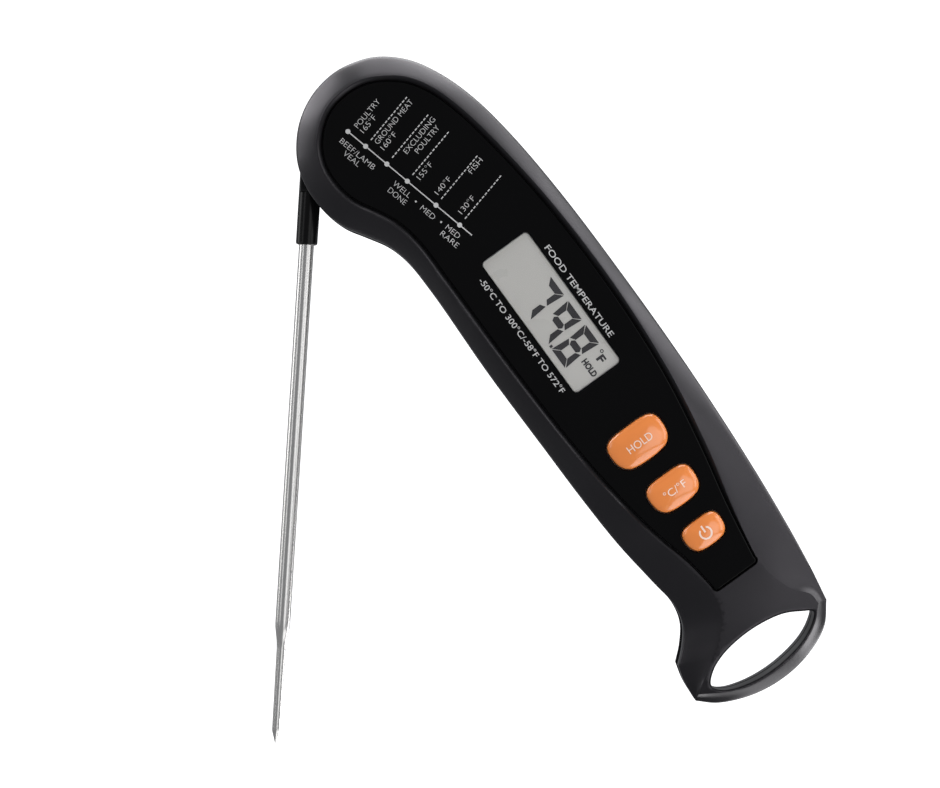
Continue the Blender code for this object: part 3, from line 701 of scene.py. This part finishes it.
def make_arm(material):
    """The probe holder: a round hub, an elbow that leads off it, and the sleeve that grips the tube."""
    outer = [
        (7.3, -3.5), (8.15, -1.7), (9.4, 0.0), (11.0, 2.1), (12.4, 5.2), (13.2, 8.4), (13.35, 14.0),
        (13.2, 19.5),
    ]
    inner = [(8.35, 19.5), (8.2, 14.5), (7.9, 11.5), (7.2, 8.8), (6.2, 6.4)]
    edge = circle((0.0, 0.0), HUB_R, 90, 44.7, 287.9) + smooth_path(outer, 5)[1:] + smooth_path(inner, 5)
    outline = [arm_point(p.x, p.y) for p in edge]
    levels = [
        (-0.7, HUB_FRONT_Y), (-0.22, -10.88), (0.0, -10.5), (0.0, -6.3), (-0.22, -5.92), (-0.7, HUB_BACK_Y),
    ]
    arm = loft("probe_holder", [(offset(outline, grow), y) for grow, y in levels])
    socket = [
        (0.0, 9.0), (1.9, 9.0), (SOCKET_R, 11.0), (SOCKET_R, 24.0), (SOCKET_R - 0.03, 30.5),
        (SOCKET_R - 0.12, 30.82), (SOCKET_R - 0.4, SOCKET_END), (0.0, SOCKET_END),
    ]
    combine(arm, turned("socket", socket, 64, along_tube()), "UNION")
    bore = [
        (0.0, 6.0), (0.8, 6.0), (0.8, 19.7), (1.7, 19.7), (1.7, 30.6), (1.9, 31.2), (1.9, 33.0),
        (0.0, 33.0),
    ]
    cut(arm, turned("tube_bore", bore, 48, along_tube()))
    cut(arm, cylinder("hub_bore", PIVOT, 2.9, HUB_FRONT_Y - 1.0, HUB_BACK_Y + 1.0))
    groove = [(4.5, HUB_FRONT_Y - 1.0), (6.1, HUB_FRONT_Y - 1.0), (6.1, -10.0), (4.5, -10.0)]
    cut(arm, turned("seal_groove", groove, 64, along_y(PIVOT), closed=True))
    finish(arm, material, 34.0)
    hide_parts("probe_arm")
    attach(arm, "probe")


def make_tube(material):
    """The hollow steel tube, from its point over the reduced tip and back to the end in the sleeve."""
    profile = [
        (0.0, TIP_END), (0.06, 141.32), (0.3, 140.5), (0.6, 139.5), (0.82, 138.8), (0.88, 138.5),
        (0.9, 138.0), (0.93, 133.5), (0.98, 126.0), (1.02, 120.5), (1.06, 119.6), (1.14, 118.7),
        (1.27, 117.8), (1.42, 116.9), (1.54, 116.2), (1.62, 115.5), (1.66, 114.8),
    ]
    profile += [(TUBE_R, 114.0 - 2.0 * i) for i in range(47)]
    profile += [
        (TUBE_R, 20.0), (TUBE_BORE_R, 20.0), (TUBE_BORE_R, 115.3), (TIP_BORE_R, 117.7), (TIP_BORE_R, 135.8),
        (0.0, 136.5),
    ]
    tube = finish(turned("steel_probe", profile, 72, along_tube()), material, 50.0)
    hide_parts("probe_tube")
    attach(tube, "probe")


def make_battery_cap(material):
    """The screw cap over the coin cell, with a slot for a coin."""
    x, z = CELL
    profile = [
        (0.0, -2.6), (8.3, -2.6), (8.3, -5.0), (10.9, -5.0), (10.9, -3.6), (9.5, -3.6), (9.5, -2.05),
        (CAP_R, -2.05), (CAP_R, -0.95), (CAP_R - 0.1, -0.75), (CAP_R - 0.32, -0.62), (9.2, -0.6),
        (9.0, -0.72), (8.5, -0.78), (8.0, -0.72), (7.8, -0.6), (0.0, -0.6),
    ]
    cap = turned("coin_slot_cap", profile, 96, along_y(CELL))
    narrow = rounded_rectangle(x, z, 12.6, 1.7, 0.84, 10)
    wide = rounded_rectangle(x, z, 13.0, 2.1, 1.04, 10)
    cut(cap, loft("coin_slot", [(narrow, -1.7), (narrow, -0.85), (wide, -0.55), (wide, 0.4)]))
    finish(cap, material)
    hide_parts("battery_cap")
    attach(cap, "cap")


def make_magnet(material):
    profile = [
        (0.0, -2.4), (5.8, -2.4), (MAGNET_R, -2.2), (MAGNET_R, -0.3), (5.95, -0.15), (5.85, -0.05),
        (5.7, 0.0), (0.0, 0.0),
    ]
    magnet = finish(turned("disc_magnet", profile, 96, along_y((0.0, 0.0))), material)
    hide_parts("back_magnet")
    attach(magnet, "body")


def make_screw(name, centre, head_r, shank_r, material):
    """Pan-head screw with a cross recess, sunk in its seat in the back."""
    tip_y = -14.9
    pitch = 0.7
    root = shank_r * 0.8
    profile = [(0.0, tip_y), (0.35 * shank_r, tip_y + 0.1), (root, tip_y + 0.9)]
    turns = int((-3.0 - tip_y - 1.0) / pitch)
    for i in range(turns):
        start = tip_y + 1.0 + pitch * i
        profile += [(root, start), (shank_r, start + 0.3 * pitch), (root, start + 0.6 * pitch)]
    profile += [
        (shank_r * 0.9, -2.4), (head_r - 0.1, -2.4), (head_r, -2.28), (head_r, -1.75),
        (head_r * 0.93, -1.4), (head_r * 0.78, -1.16), (head_r * 0.5, -1.01), (0.0, -0.97),
    ]
    screw = turned(name + "_threaded", profile, 48, along_y(centre))
    x, z = centre
    long, thin = head_r * 1.25, head_r * 0.26
    for width, height in ((long, thin), (thin, long)):
        slot = [
            (rounded_rectangle(x, z, width * 0.72, height * 0.72, 0.1, 3), -1.85),
            (rounded_rectangle(x, z, width * 1.08, height * 1.08, 0.12, 3), -0.85),
        ]
        cut(screw, loft("recess", slot))
    finish(screw, material)
    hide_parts(name)
    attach(screw, "body")


# ---- lettering


def lettering(text, start, end, height, weight=-0.015):
    """Flat letters on a baseline from start to end, scaled to fill it at that cap height, in millimetres.

    weight makes the strokes heavier or, below 0, lighter.
    """
    curve = bpy.data.curves.new("letters", "FONT")
    curve.body = text
    curve.resolution_u = 4
    curve.offset = weight
    holder = bpy.data.objects.new("letters", curve)
    bpy.context.scene.collection.objects.link(holder)
    graph = bpy.context.evaluated_depsgraph_get()
    mesh = bpy.data.meshes.new_from_object(holder.evaluated_get(graph))
    bpy.data.objects.remove(holder)
    low = min(v.co.x for v in mesh.vertices)
    high = max(v.co.x for v in mesh.vertices)
    start, end = Vector(start), Vector(end)
    along = (end - start).normalized()
    up = Vector((-along.y, along.x))
    wide = (end - start).length / (high - low)
    cap_height = 0.695
    tall = height / cap_height
    vertices = [start + along * (v.co.x - low) * wide + up * v.co.y * tall for v in mesh.vertices]
    return vertices, [tuple(p.vertices) for p in mesh.polygons]


def bar(start, end, thickness):
    """A straight printed stroke."""
    start, end = Vector(start), Vector(end)
    along = (end - start).normalized()
    up = Vector((-along.y, along.x)) * thickness / 2
    return [start - up, end - up, end + up, start + up], [(0, 1, 2, 3)]


def dot(centre, radius):
    count = 20
    return circle(centre, radius, count), [tuple(range(count))]


def printed(name, shapes, y, material, body, onto=None):
    """One thin printed layer. It lies at depth y, or just above the piece it is printed onto."""
    vertices, faces = [], []
    for points, polygons in shapes:
        faces += [tuple(i + len(vertices) for i in face) for face in polygons]
        vertices += points
    shape = bmesh.new()
    made = [shape.verts.new(Vector((p.x, y, p.y)) * MM) for p in vertices]
    for face in faces:
        shape.faces.new([made[i] for i in face])
    if onto:
        bmesh.ops.triangulate(shape, faces=shape.faces)
        bmesh.ops.subdivide_edges(shape, edges=shape.edges, cuts=1, use_grid_fill=False)
        tree = BVHTree.FromObject(onto, bpy.context.evaluated_depsgraph_get())
        for vertex in shape.verts:
            hit = tree.ray_cast(Vector((vertex.co.x, -0.1, vertex.co.z)), Vector((0.0, 1.0, 0.0)))[0]
            vertex.co.y = hit.y - PRINT_LIFT * MM
    for face in shape.faces:
        face.normal_update()
        if face.normal.y > 0:
            face.normal_flip()
    mesh = bpy.data.meshes.new(name)
    shape.to_mesh(mesh)
    shape.free()
    mesh.materials.append(material)
    layer = bpy.data.objects.new(name, mesh)
    bpy.context.scene.collection.objects.link(layer)
    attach(layer, body)
    return layer


def chart_shapes():
    """The cooking chart in the head: a slanted line with a dot at each temperature, rules and labels."""
    start = Vector((-12.02, 60.2))
    along = Vector((0.2432, -0.970))
    across = Vector((0.970, 0.2432))

    def at(u, v):
        return start + along * u + across * v

    stops = (0.0, 5.02, 11.04, 16.85, 24.98, 31.7)
    shapes = [dot(at(u, 0.0), 0.55) for u in stops]
    for u, following in zip(stops, stops[1:] + (35.7,)):
        shapes.append(bar(at(u + 0.52, 0.0), at(following - 0.52, 0.0), RULE))
    for u in stops[1:]:
        shapes += [bar(at(u, 1.8 + 0.965 * i), at(u, 2.42 + 0.965 * i), RULE) for i in range(13)]
    across_labels = [
        ("POULTRY", 1.3, 1.9, 9.5), ("165°F", 2.95, 1.9, 6.3), ("GROUND MEAT", 6.9, 2.0, 14.0),
        ("160°F", 8.7, 1.9, 6.3), ("EXCLUDING", 13.05, 4.5, 14.2), ("POULTRY", 14.9, 6.1, 13.4),
        ("155°F", 18.9, 2.0, 6.3), ("140°F", 24.0, 2.0, 6.5), ("FISH", 26.65, 10.2, 14.0),
        ("130°F", 30.65, 2.1, 6.6),
    ]
    for text, u, v0, v1 in across_labels:
        shapes.append(lettering(text, at(u, v0), at(u, v1), LABEL_HEIGHT))
    along_labels = [
        ("BEEF/LAMB", -3.0, 0.0, 9.5), ("VEAL", -4.6, 2.3, 6.6), ("WELL", -2.7, 14.8, 19.4),
        ("DONE", -4.5, 14.9, 19.7), ("MED", -2.95, 22.8, 26.5), ("MED", -2.65, 29.7, 33.3),
        ("RARE", -4.4, 29.7, 34.4),
    ]
    for text, v, u0, u1 in along_labels:
        shapes.append(lettering(text, at(u0, v), at(u1, v), LABEL_HEIGHT))
    shapes += [dot(at(21.1, -2.2), 0.22), dot(at(28.2, -2.1), 0.22)]
    return shapes


def panel_print(material):
    """The chart, and a line of small capitals on each side of the display."""
    shapes = chart_shapes()
    shapes.append(lettering("FOOD TEMPERATURE", (7.65, 14.6), (7.65, -9.5), 1.35, 0.005))
    shapes.append(lettering("-50°C TO 300°C/-58°F TO 572°F", (-8.15, 17.2), (-8.15, -13.2), 1.3, 0.005))
    printed("panel_lettering", shapes, PANEL_FRONT_Y - 0.02, material, "body")


def digit(bottom_x, top_z, segments):
    """A seven-segment digit lying on its side: its top points to +X and it reads towards -Z."""
    height, width = 9.2, 5.2
    t, g, half = 1.5, 0.14, height / 2

    def place(u, v):
        return Vector((bottom_x + v, top_z - u))

    strokes = {
        "a": [(g, height), (width - g, height), (width - t, height - t), (t, height - t)],
        "g": [(t * 0.6 + g, half), (t, half + t / 2), (width - t, half + t / 2),
              (width - t * 0.6 - g, half), (width - t, half - t / 2), (t, half - t / 2)],
        "d": [(g, 0.0), (t, t), (width - t, t), (width - g, 0.0)],
        "f": [(0.0, height - g), (t, height - t - g), (t, half + t / 2 + g), (0.25 * t, half + g)],
        "b": [(width, height - g), (width - 0.25 * t, half + g), (width - t, half + t / 2 + g),
              (width - t, height - t - g)],
        "e": [(0.25 * t, half - g), (t, half - t / 2 - g), (t, t + g), (0.0, g)],
        "c": [(width - 0.25 * t, half - g), (width, g), (width - t, t + g), (width - t, half - t / 2 - g)],
    }
    shapes = []
    for name in segments:
        points = [place(u, v) for u, v in strokes[name]]
        shapes.append((points, [tuple(range(len(points)))]))
    return shapes


def lcd_print(material):
    """The reading 79.8 with its unit and the hold sign."""
    bottom = -4.05
    shapes = digit(bottom, 8.9, "abc")
    shapes += digit(bottom, 2.3, "abcfg")
    shapes += digit(bottom, -4.1, "abcdefg")
    shapes.append(bar((bottom, -3.6), (-3.4, -3.6), 0.6))
    shapes.append(lettering("HOLD", (-0.35, -10.15), (-0.35, -14.45), 1.3, 0.05))
    shapes.append(lettering("F", (2.6, -11.5), (2.6, -12.95), 1.8, 0.04))
    count = 20
    ring = circle((4.6, -10.9), 0.42, count) + circle((4.6, -10.9), 0.22, count)
    faces = [(i, (i + 1) % count, count + (i + 1) % count, count + i) for i in range(count)]
    shapes.append((ring, faces))
    printed("lcd_segments", shapes, LCD_Y - PRINT_LIFT, material, "body")


def legend_print(keys, material):
    """The words and the power sign on the keys, laid on their domes."""
    x, z = BUTTONS["hold"][:2]
    word = lettering("HOLD", (x - 2.95, z - 1.0), (x + 3.3, z - 1.0), 1.75, 0.0)
    printed("hold_legend", [word], LEGEND_Y, material, "hold_key", keys["hold"])
    x, z = BUTTONS["unit"][:2]
    word = lettering("°C/°F", (x - 2.6, z - 0.95), (x + 2.95, z - 0.95), 1.65, 0.0)
    printed("unit_legend", [word], LEGEND_Y, material, "unit_key", keys["unit"])
    x, z = BUTTONS["power"][:2]
    count = 25
    outer = circle((x + 0.1, z - 0.25), 1.5, count, 125.0, 290.0)
    inner = circle((x + 0.1, z - 0.25), 1.1, count, 125.0, 290.0)
    arc = (outer + inner, [(i, i + 1, count + i + 1, count + i) for i in range(count - 1)])
    stroke = bar((x + 0.1, z - 0.1), (x + 0.1, z + 1.55), 0.4)
    printed("power_legend", [arc, stroke], LEGEND_Y, material, "power_key", keys["power"])


# ---- materials


def node(tree, kind, **inputs):
    """Adds a shader node. Each keyword sets an input by name (_ for a space) or a property."""
    made = tree.nodes.new(kind)
    for name, value in inputs.items():
        socket = name.replace("_", " ")
        if socket in made.inputs:
            made.inputs[socket].default_value = value
        else:
            setattr(made, name, value)
    return made


def spread(tree, source, low, high, start=0.3, end=0.7):
    """Maps a 0..1 pattern to a range of values."""
    ramp = node(tree, "ShaderNodeMapRange", From_Min=start, From_Max=end, To_Min=low, To_Max=high)
    tree.links.new(source, ramp.inputs["Value"])
    return ramp.outputs["Result"]


def surface(name, colour, roughness, metallic=0.0, grain=0.4, depth=0.004, mottle=0.06, uneven=0.06,
            worn=None, stretch=(1.0, 1.0, 1.0), turn=0.0, coat=0.0, **extra):
    """A procedural finish.

    grain is the size of the surface texture and depth its height, in millimetres. mottle is how much the
    colour varies and uneven how much the roughness varies. worn is the colour that edges rub to. stretch
    lengthens the texture along its own axes, which turn tips over about Y.
    """
    made = bpy.data.materials.new(name)
    made.use_nodes = True
    tree = made.node_tree
    shader = tree.nodes["Principled BSDF"]
    shader.inputs["Metallic"].default_value = metallic
    shader.inputs["Coat Weight"].default_value = coat
    shader.inputs["Coat Roughness"].default_value = 0.06
    for socket, value in extra.items():
        shader.inputs[socket.replace("_", " ")].default_value = value
    place = node(tree, "ShaderNodeTexCoord")
    frame = node(tree, "ShaderNodeMapping", vector_type="TEXTURE", Scale=stretch, Rotation=(0.0, turn, 0.0))
    tree.links.new(place.outputs["Object"], frame.inputs["Vector"])
    fine = node(tree, "ShaderNodeTexNoise", Scale=1000.0 / grain, Detail=3.0, Roughness=0.6)
    broad = node(tree, "ShaderNodeTexNoise", Scale=70.0, Detail=4.0, Roughness=0.55)
    for pattern in (fine, broad):
        tree.links.new(frame.outputs["Vector"], pattern.inputs["Vector"])
    shade = node(tree, "ShaderNodeMix", data_type="RGBA")
    shade.inputs[6].default_value = (*[c * (1.0 - mottle) for c in colour], 1.0)
    shade.inputs[7].default_value = (*[min(1.0, c * (1.0 + mottle)) for c in colour], 1.0)
    tree.links.new(spread(tree, broad.outputs["Fac"], 0.0, 1.0), shade.inputs[0])
    tint = shade.outputs[2]
    rough = spread(tree, broad.outputs["Fac"], roughness - uneven, roughness + uneven)
    if worn:
        shape = node(tree, "ShaderNodeNewGeometry")
        edge = spread(tree, shape.outputs["Pointiness"], 0.0, 1.0, 0.53, 0.62)
        broken = node(tree, "ShaderNodeMath", operation="MULTIPLY")
        tree.links.new(edge, broken.inputs[0])
        tree.links.new(spread(tree, fine.outputs["Fac"], 0.0, 0.5), broken.inputs[1])
        rubbed = node(tree, "ShaderNodeMix", data_type="RGBA")
        rubbed.inputs[7].default_value = (*worn, 1.0)
        tree.links.new(broken.outputs[0], rubbed.inputs[0])
        tree.links.new(tint, rubbed.inputs[6])
        tint = rubbed.outputs[2]
    tree.links.new(tint, shader.inputs["Base Color"])
    tree.links.new(rough, shader.inputs["Roughness"])
    bump = node(tree, "ShaderNodeBump", Strength=0.5, Distance=depth * MM)
    tree.links.new(fine.outputs["Fac"], bump.inputs["Height"])
    tree.links.new(bump.outputs["Normal"], shader.inputs["Normal"])
    return made


def make_materials():
    steel_grain = (1.0, 1.0, 33.0)
    case_sheen = {"Specular_IOR_Level": 0.35, "Specular_Tint": (0.96, 0.91, 1.0, 1.0)}
    return {
        "housing": surface("housing_plastic", (0.005, 0.005, 0.0056), 0.38, grain=0.28, depth=0.010,
                           mottle=0.05, worn=(0.03, 0.03, 0.032), **case_sheen),
        "back": surface("back_plastic", (0.005, 0.005, 0.0056), 0.42, grain=0.28, depth=0.012,
                        mottle=0.05, worn=(0.03, 0.03, 0.032), **case_sheen),
        "gloss": surface("panel_gloss", (0.0022, 0.0022, 0.0024), 0.08, grain=3.0, depth=0.002, uneven=0.02,
                         Specular_IOR_Level=0.08),
        "clear": surface("window_clear", (0.02, 0.02, 0.02), 0.05, grain=3.0, depth=0.001, uneven=0.01,
                         Specular_IOR_Level=0.08, Alpha=0.06),
        "lcd": surface("lcd_glass", (0.57, 0.56, 0.535), 0.3, grain=0.6, depth=0.001, mottle=0.015),
        "segment": surface("lcd_segment", (0.032, 0.030, 0.034), 0.35, grain=0.6, depth=0.001),
        "orange": surface("button_orange", (0.81, 0.24, 0.05), 0.2, grain=1.2, depth=0.002, uneven=0.04,
                          mottle=0.03, worn=(0.95, 0.40, 0.15), coat=0.6),
        "ink": surface("print_white", (0.50, 0.50, 0.50), 0.5, grain=0.3, depth=0.002, mottle=0.08),
        "legend": surface("legend_white", (0.90, 0.70, 0.60), 0.4, grain=0.3, depth=0.002),
        "arm": surface("arm_plastic", (0.003, 0.003, 0.0033), 0.2, grain=0.5, depth=0.004,
                       Specular_IOR_Level=0.12, worn=(0.05, 0.05, 0.05)),
        "tube": surface("stainless_steel", (0.45, 0.444, 0.438), 0.24, 0.8, grain=0.3, depth=0.0003,
                        stretch=steel_grain, turn=OPEN_ANGLE, mottle=0.03, uneven=0.03),
        "steel": surface("pivot_steel", (0.60, 0.60, 0.60), 0.28, 1.0, grain=0.3, depth=0.004),
        "screw": surface("screw_steel", (0.42, 0.42, 0.43), 0.32, 1.0, grain=0.3, depth=0.004,
                         worn=(0.6, 0.6, 0.6)),
        "magnet": surface("magnet_nickel", (0.58, 0.57, 0.55), 0.24, 1.0, grain=0.4, depth=0.003,
                          worn=(0.7, 0.7, 0.68)),
        "frame": surface("white_plastic", (0.72, 0.72, 0.70), 0.45),
        "light": surface("light_guide", (0.82, 0.84, 0.82), 0.25, mottle=0.02),
        "strip": surface("connector_rubber", (0.26, 0.15, 0.20), 0.7, grain=0.3, depth=0.01),
        "board": surface("board_green", (0.02, 0.15, 0.06), 0.35, mottle=0.15),
        "chip": surface("chip_epoxy", (0.015, 0.015, 0.016), 0.5, grain=0.2, depth=0.01),
        "switch": surface("switch_black", (0.03, 0.03, 0.03), 0.42),
        "contact": surface("contact_nickel", (0.66, 0.62, 0.52), 0.28, 1.0),
        "cell": surface("cell_steel", (0.66, 0.66, 0.65), 0.24, 1.0),
        "rubber": surface("seal_rubber", (0.02, 0.02, 0.02), 0.75, grain=0.4, depth=0.012),
        "bead": surface("sensor_bead", (0.12, 0.05, 0.03), 0.4),
        "wire": surface("wire_red", (0.45, 0.03, 0.02), 0.45),
    }


# CAD nodes that keep their own mesh, with the finish each one takes
KEPT_NODES = {
    "lcd_frame": "frame", "backlight_plate": "light", "connector_strip": "strip", "circuit_board": "board",
    "controller_chip": "chip", "hold_switch": "switch", "unit_switch": "switch", "power_switch": "switch",
    "coin_cell": "cell", "contact_minus": "contact", "contact_plus": "contact", "case_seal": "rubber",
    "battery_cap_seal": "rubber", "pivot_seal": "rubber", "pivot_bush": "steel", "pivot_washer": "steel",
    "thermistor": "bead", "probe_lead": "wire", "board_lead": "wire",
}


# ---- studio


def make_stage():
    """A round pale room: floor below, a wall all round and a sweep between them. It only backs the view."""
    floor_z, floor_r, sweep_r, top_z = -0.6, 2.0, 1.0, 3.2
    profile = [(0.0, floor_z), (floor_r, floor_z)]
    for i in range(1, 11):
        a = math.radians(9 * i)
        profile.append((floor_r + sweep_r * math.sin(a), floor_z + sweep_r * (1.0 - math.cos(a))))
    profile.append((floor_r + sweep_r, top_z))
    room = turned("room", [(r / MM, z / MM) for r, z in profile], 96, Matrix())
    paper = surface("paper_white", (0.9, 0.9, 0.9), 0.9, grain=4.0, depth=0.05, mottle=0.01)
    shader = paper.node_tree.nodes["Principled BSDF"]
    shader.inputs["Emission Color"].default_value = (1.0, 1.0, 1.0, 1.0)
    shader.inputs["Emission Strength"].default_value = 1.0
    room.data.materials.append(paper)
    for face in room.data.polygons:
        face.use_smooth = True
    room.visible_diffuse = False
    room.visible_glossy = False
    room.visible_shadow = False


def view_axes():
    """The photograph's right, up and front, which stand 36 degrees over from the body's own."""
    tilt = math.radians(36.0)
    right = Vector((math.cos(tilt), 0.0, -math.sin(tilt)))
    up = Vector((math.sin(tilt), 0.0, math.cos(tilt)))
    return right, up, Vector((0.0, -1.0, 0.0))


def softbox(name, azimuth, elevation, width, height, brightness):
    """A rectangular light a fixed distance from the body, aimed at its middle.

    Its angles are in degrees as the camera sees them: azimuth 0 is in front of the body, 90 to its right
    and 180 behind it, and elevation is upwards.
    """
    reach = 0.9
    middle = Vector((-0.01, -0.012, 0.0))
    lamp = bpy.data.lights.new(name, "AREA")
    lamp.shape = "RECTANGLE"
    lamp.size = width
    lamp.size_y = height
    lamp.energy = brightness * math.pi * width * height
    holder = bpy.data.objects.new(name, lamp)
    bpy.context.scene.collection.objects.link(holder)
    right, up, front = view_axes()
    a, e = math.radians(azimuth), math.radians(elevation)
    way = (right * math.sin(a) + front * math.cos(a)) * math.cos(e) + up * math.sin(e)
    side = right * math.cos(a) - front * math.sin(a)
    turn = Matrix((side, way.cross(side), way)).transposed().to_4x4()
    holder.matrix_world = Matrix.Translation(middle + way * reach) @ turn
    holder.visible_camera = False


def make_lights():
    """A dim even sky and the softboxes that draw each band on the case, the keys and the tube."""
    world = bpy.data.worlds.new("studio")
    world.use_nodes = True
    sky = world.node_tree.nodes["Background"]
    sky.inputs["Color"].default_value = (0.9, 0.92, 0.95, 1.0)
    sky.inputs["Strength"].default_value = 0.36
    bpy.context.scene.world = world
    softbox("right_wall", 100, 27, 0.5, 0.75, 4.2)
    softbox("right_low", 113, -24, 0.4, 0.35, 8.5)
    softbox("back_top", 170, 66, 1.0, 0.6, 7.0)
    softbox("left_top", -97, 38, 0.6, 0.5, 7.0)
    softbox("left_back", -95, 12, 0.36, 0.5, 3.2)
    softbox("overhead", 0, 80, 0.6, 0.4, 4.5)
    softbox("back_low", 155, -54, 1.0, 0.5, 2.6)
    softbox("right_front", 56, 14, 0.36, 0.7, 2.6)
    softbox("front", 26, -4, 0.42, 0.5, 1.9)
    softbox("low_front", 46, -44, 0.8, 0.6, 2.5)
    softbox("left_front", -47, 8, 0.2, 0.5, 1.8)


def make_camera():
    """The photograph's view: square on to the face and rolled, so that the probe hangs almost upright."""
    camera = bpy.data.cameras.new("camera")
    camera.lens = 114.5
    camera.sensor_width = 36.0
    holder = bpy.data.objects.new("camera", camera)
    bpy.context.scene.collection.objects.link(holder)
    turn = Matrix(view_axes()).transposed().to_4x4()
    holder.matrix_world = Matrix.Translation((-0.0241, -0.6692, -0.0016)) @ turn
    bpy.context.scene.camera = holder


def make_all():
    looks = make_materials()
    frame_nodes = frame["nodes"]
    make_front_shell(looks["housing"])
    make_back_shell(looks["back"])
    make_face_panel(looks["gloss"])
    make_window(looks["clear"])
    make_lcd(looks["lcd"])
    keys = make_buttons(looks["orange"])
    make_arm(looks["arm"])
    make_tube(looks["tube"])
    make_battery_cap(looks["back"])
    make_magnet(looks["magnet"])
    for number, centre in enumerate(CASE_SCREWS, 1):
        make_screw(f"case_screw_{number}", centre, 2.0, 1.0, looks["screw"])
    make_screw("pivot_screw", PIVOT, 2.4, 1.3, looks["steel"])
    panel_print(looks["ink"])
    lcd_print(looks["segment"])
    legend_print(keys, looks["legend"])
    for name, look in KEPT_NODES.items():
        frame_nodes[name].data.materials.clear()
        frame_nodes[name].data.materials.append(looks[look])
    make_stage()
    make_lights()
    make_camera()
    bpy.context.scene.view_settings.view_transform = "Standard"


make_all()
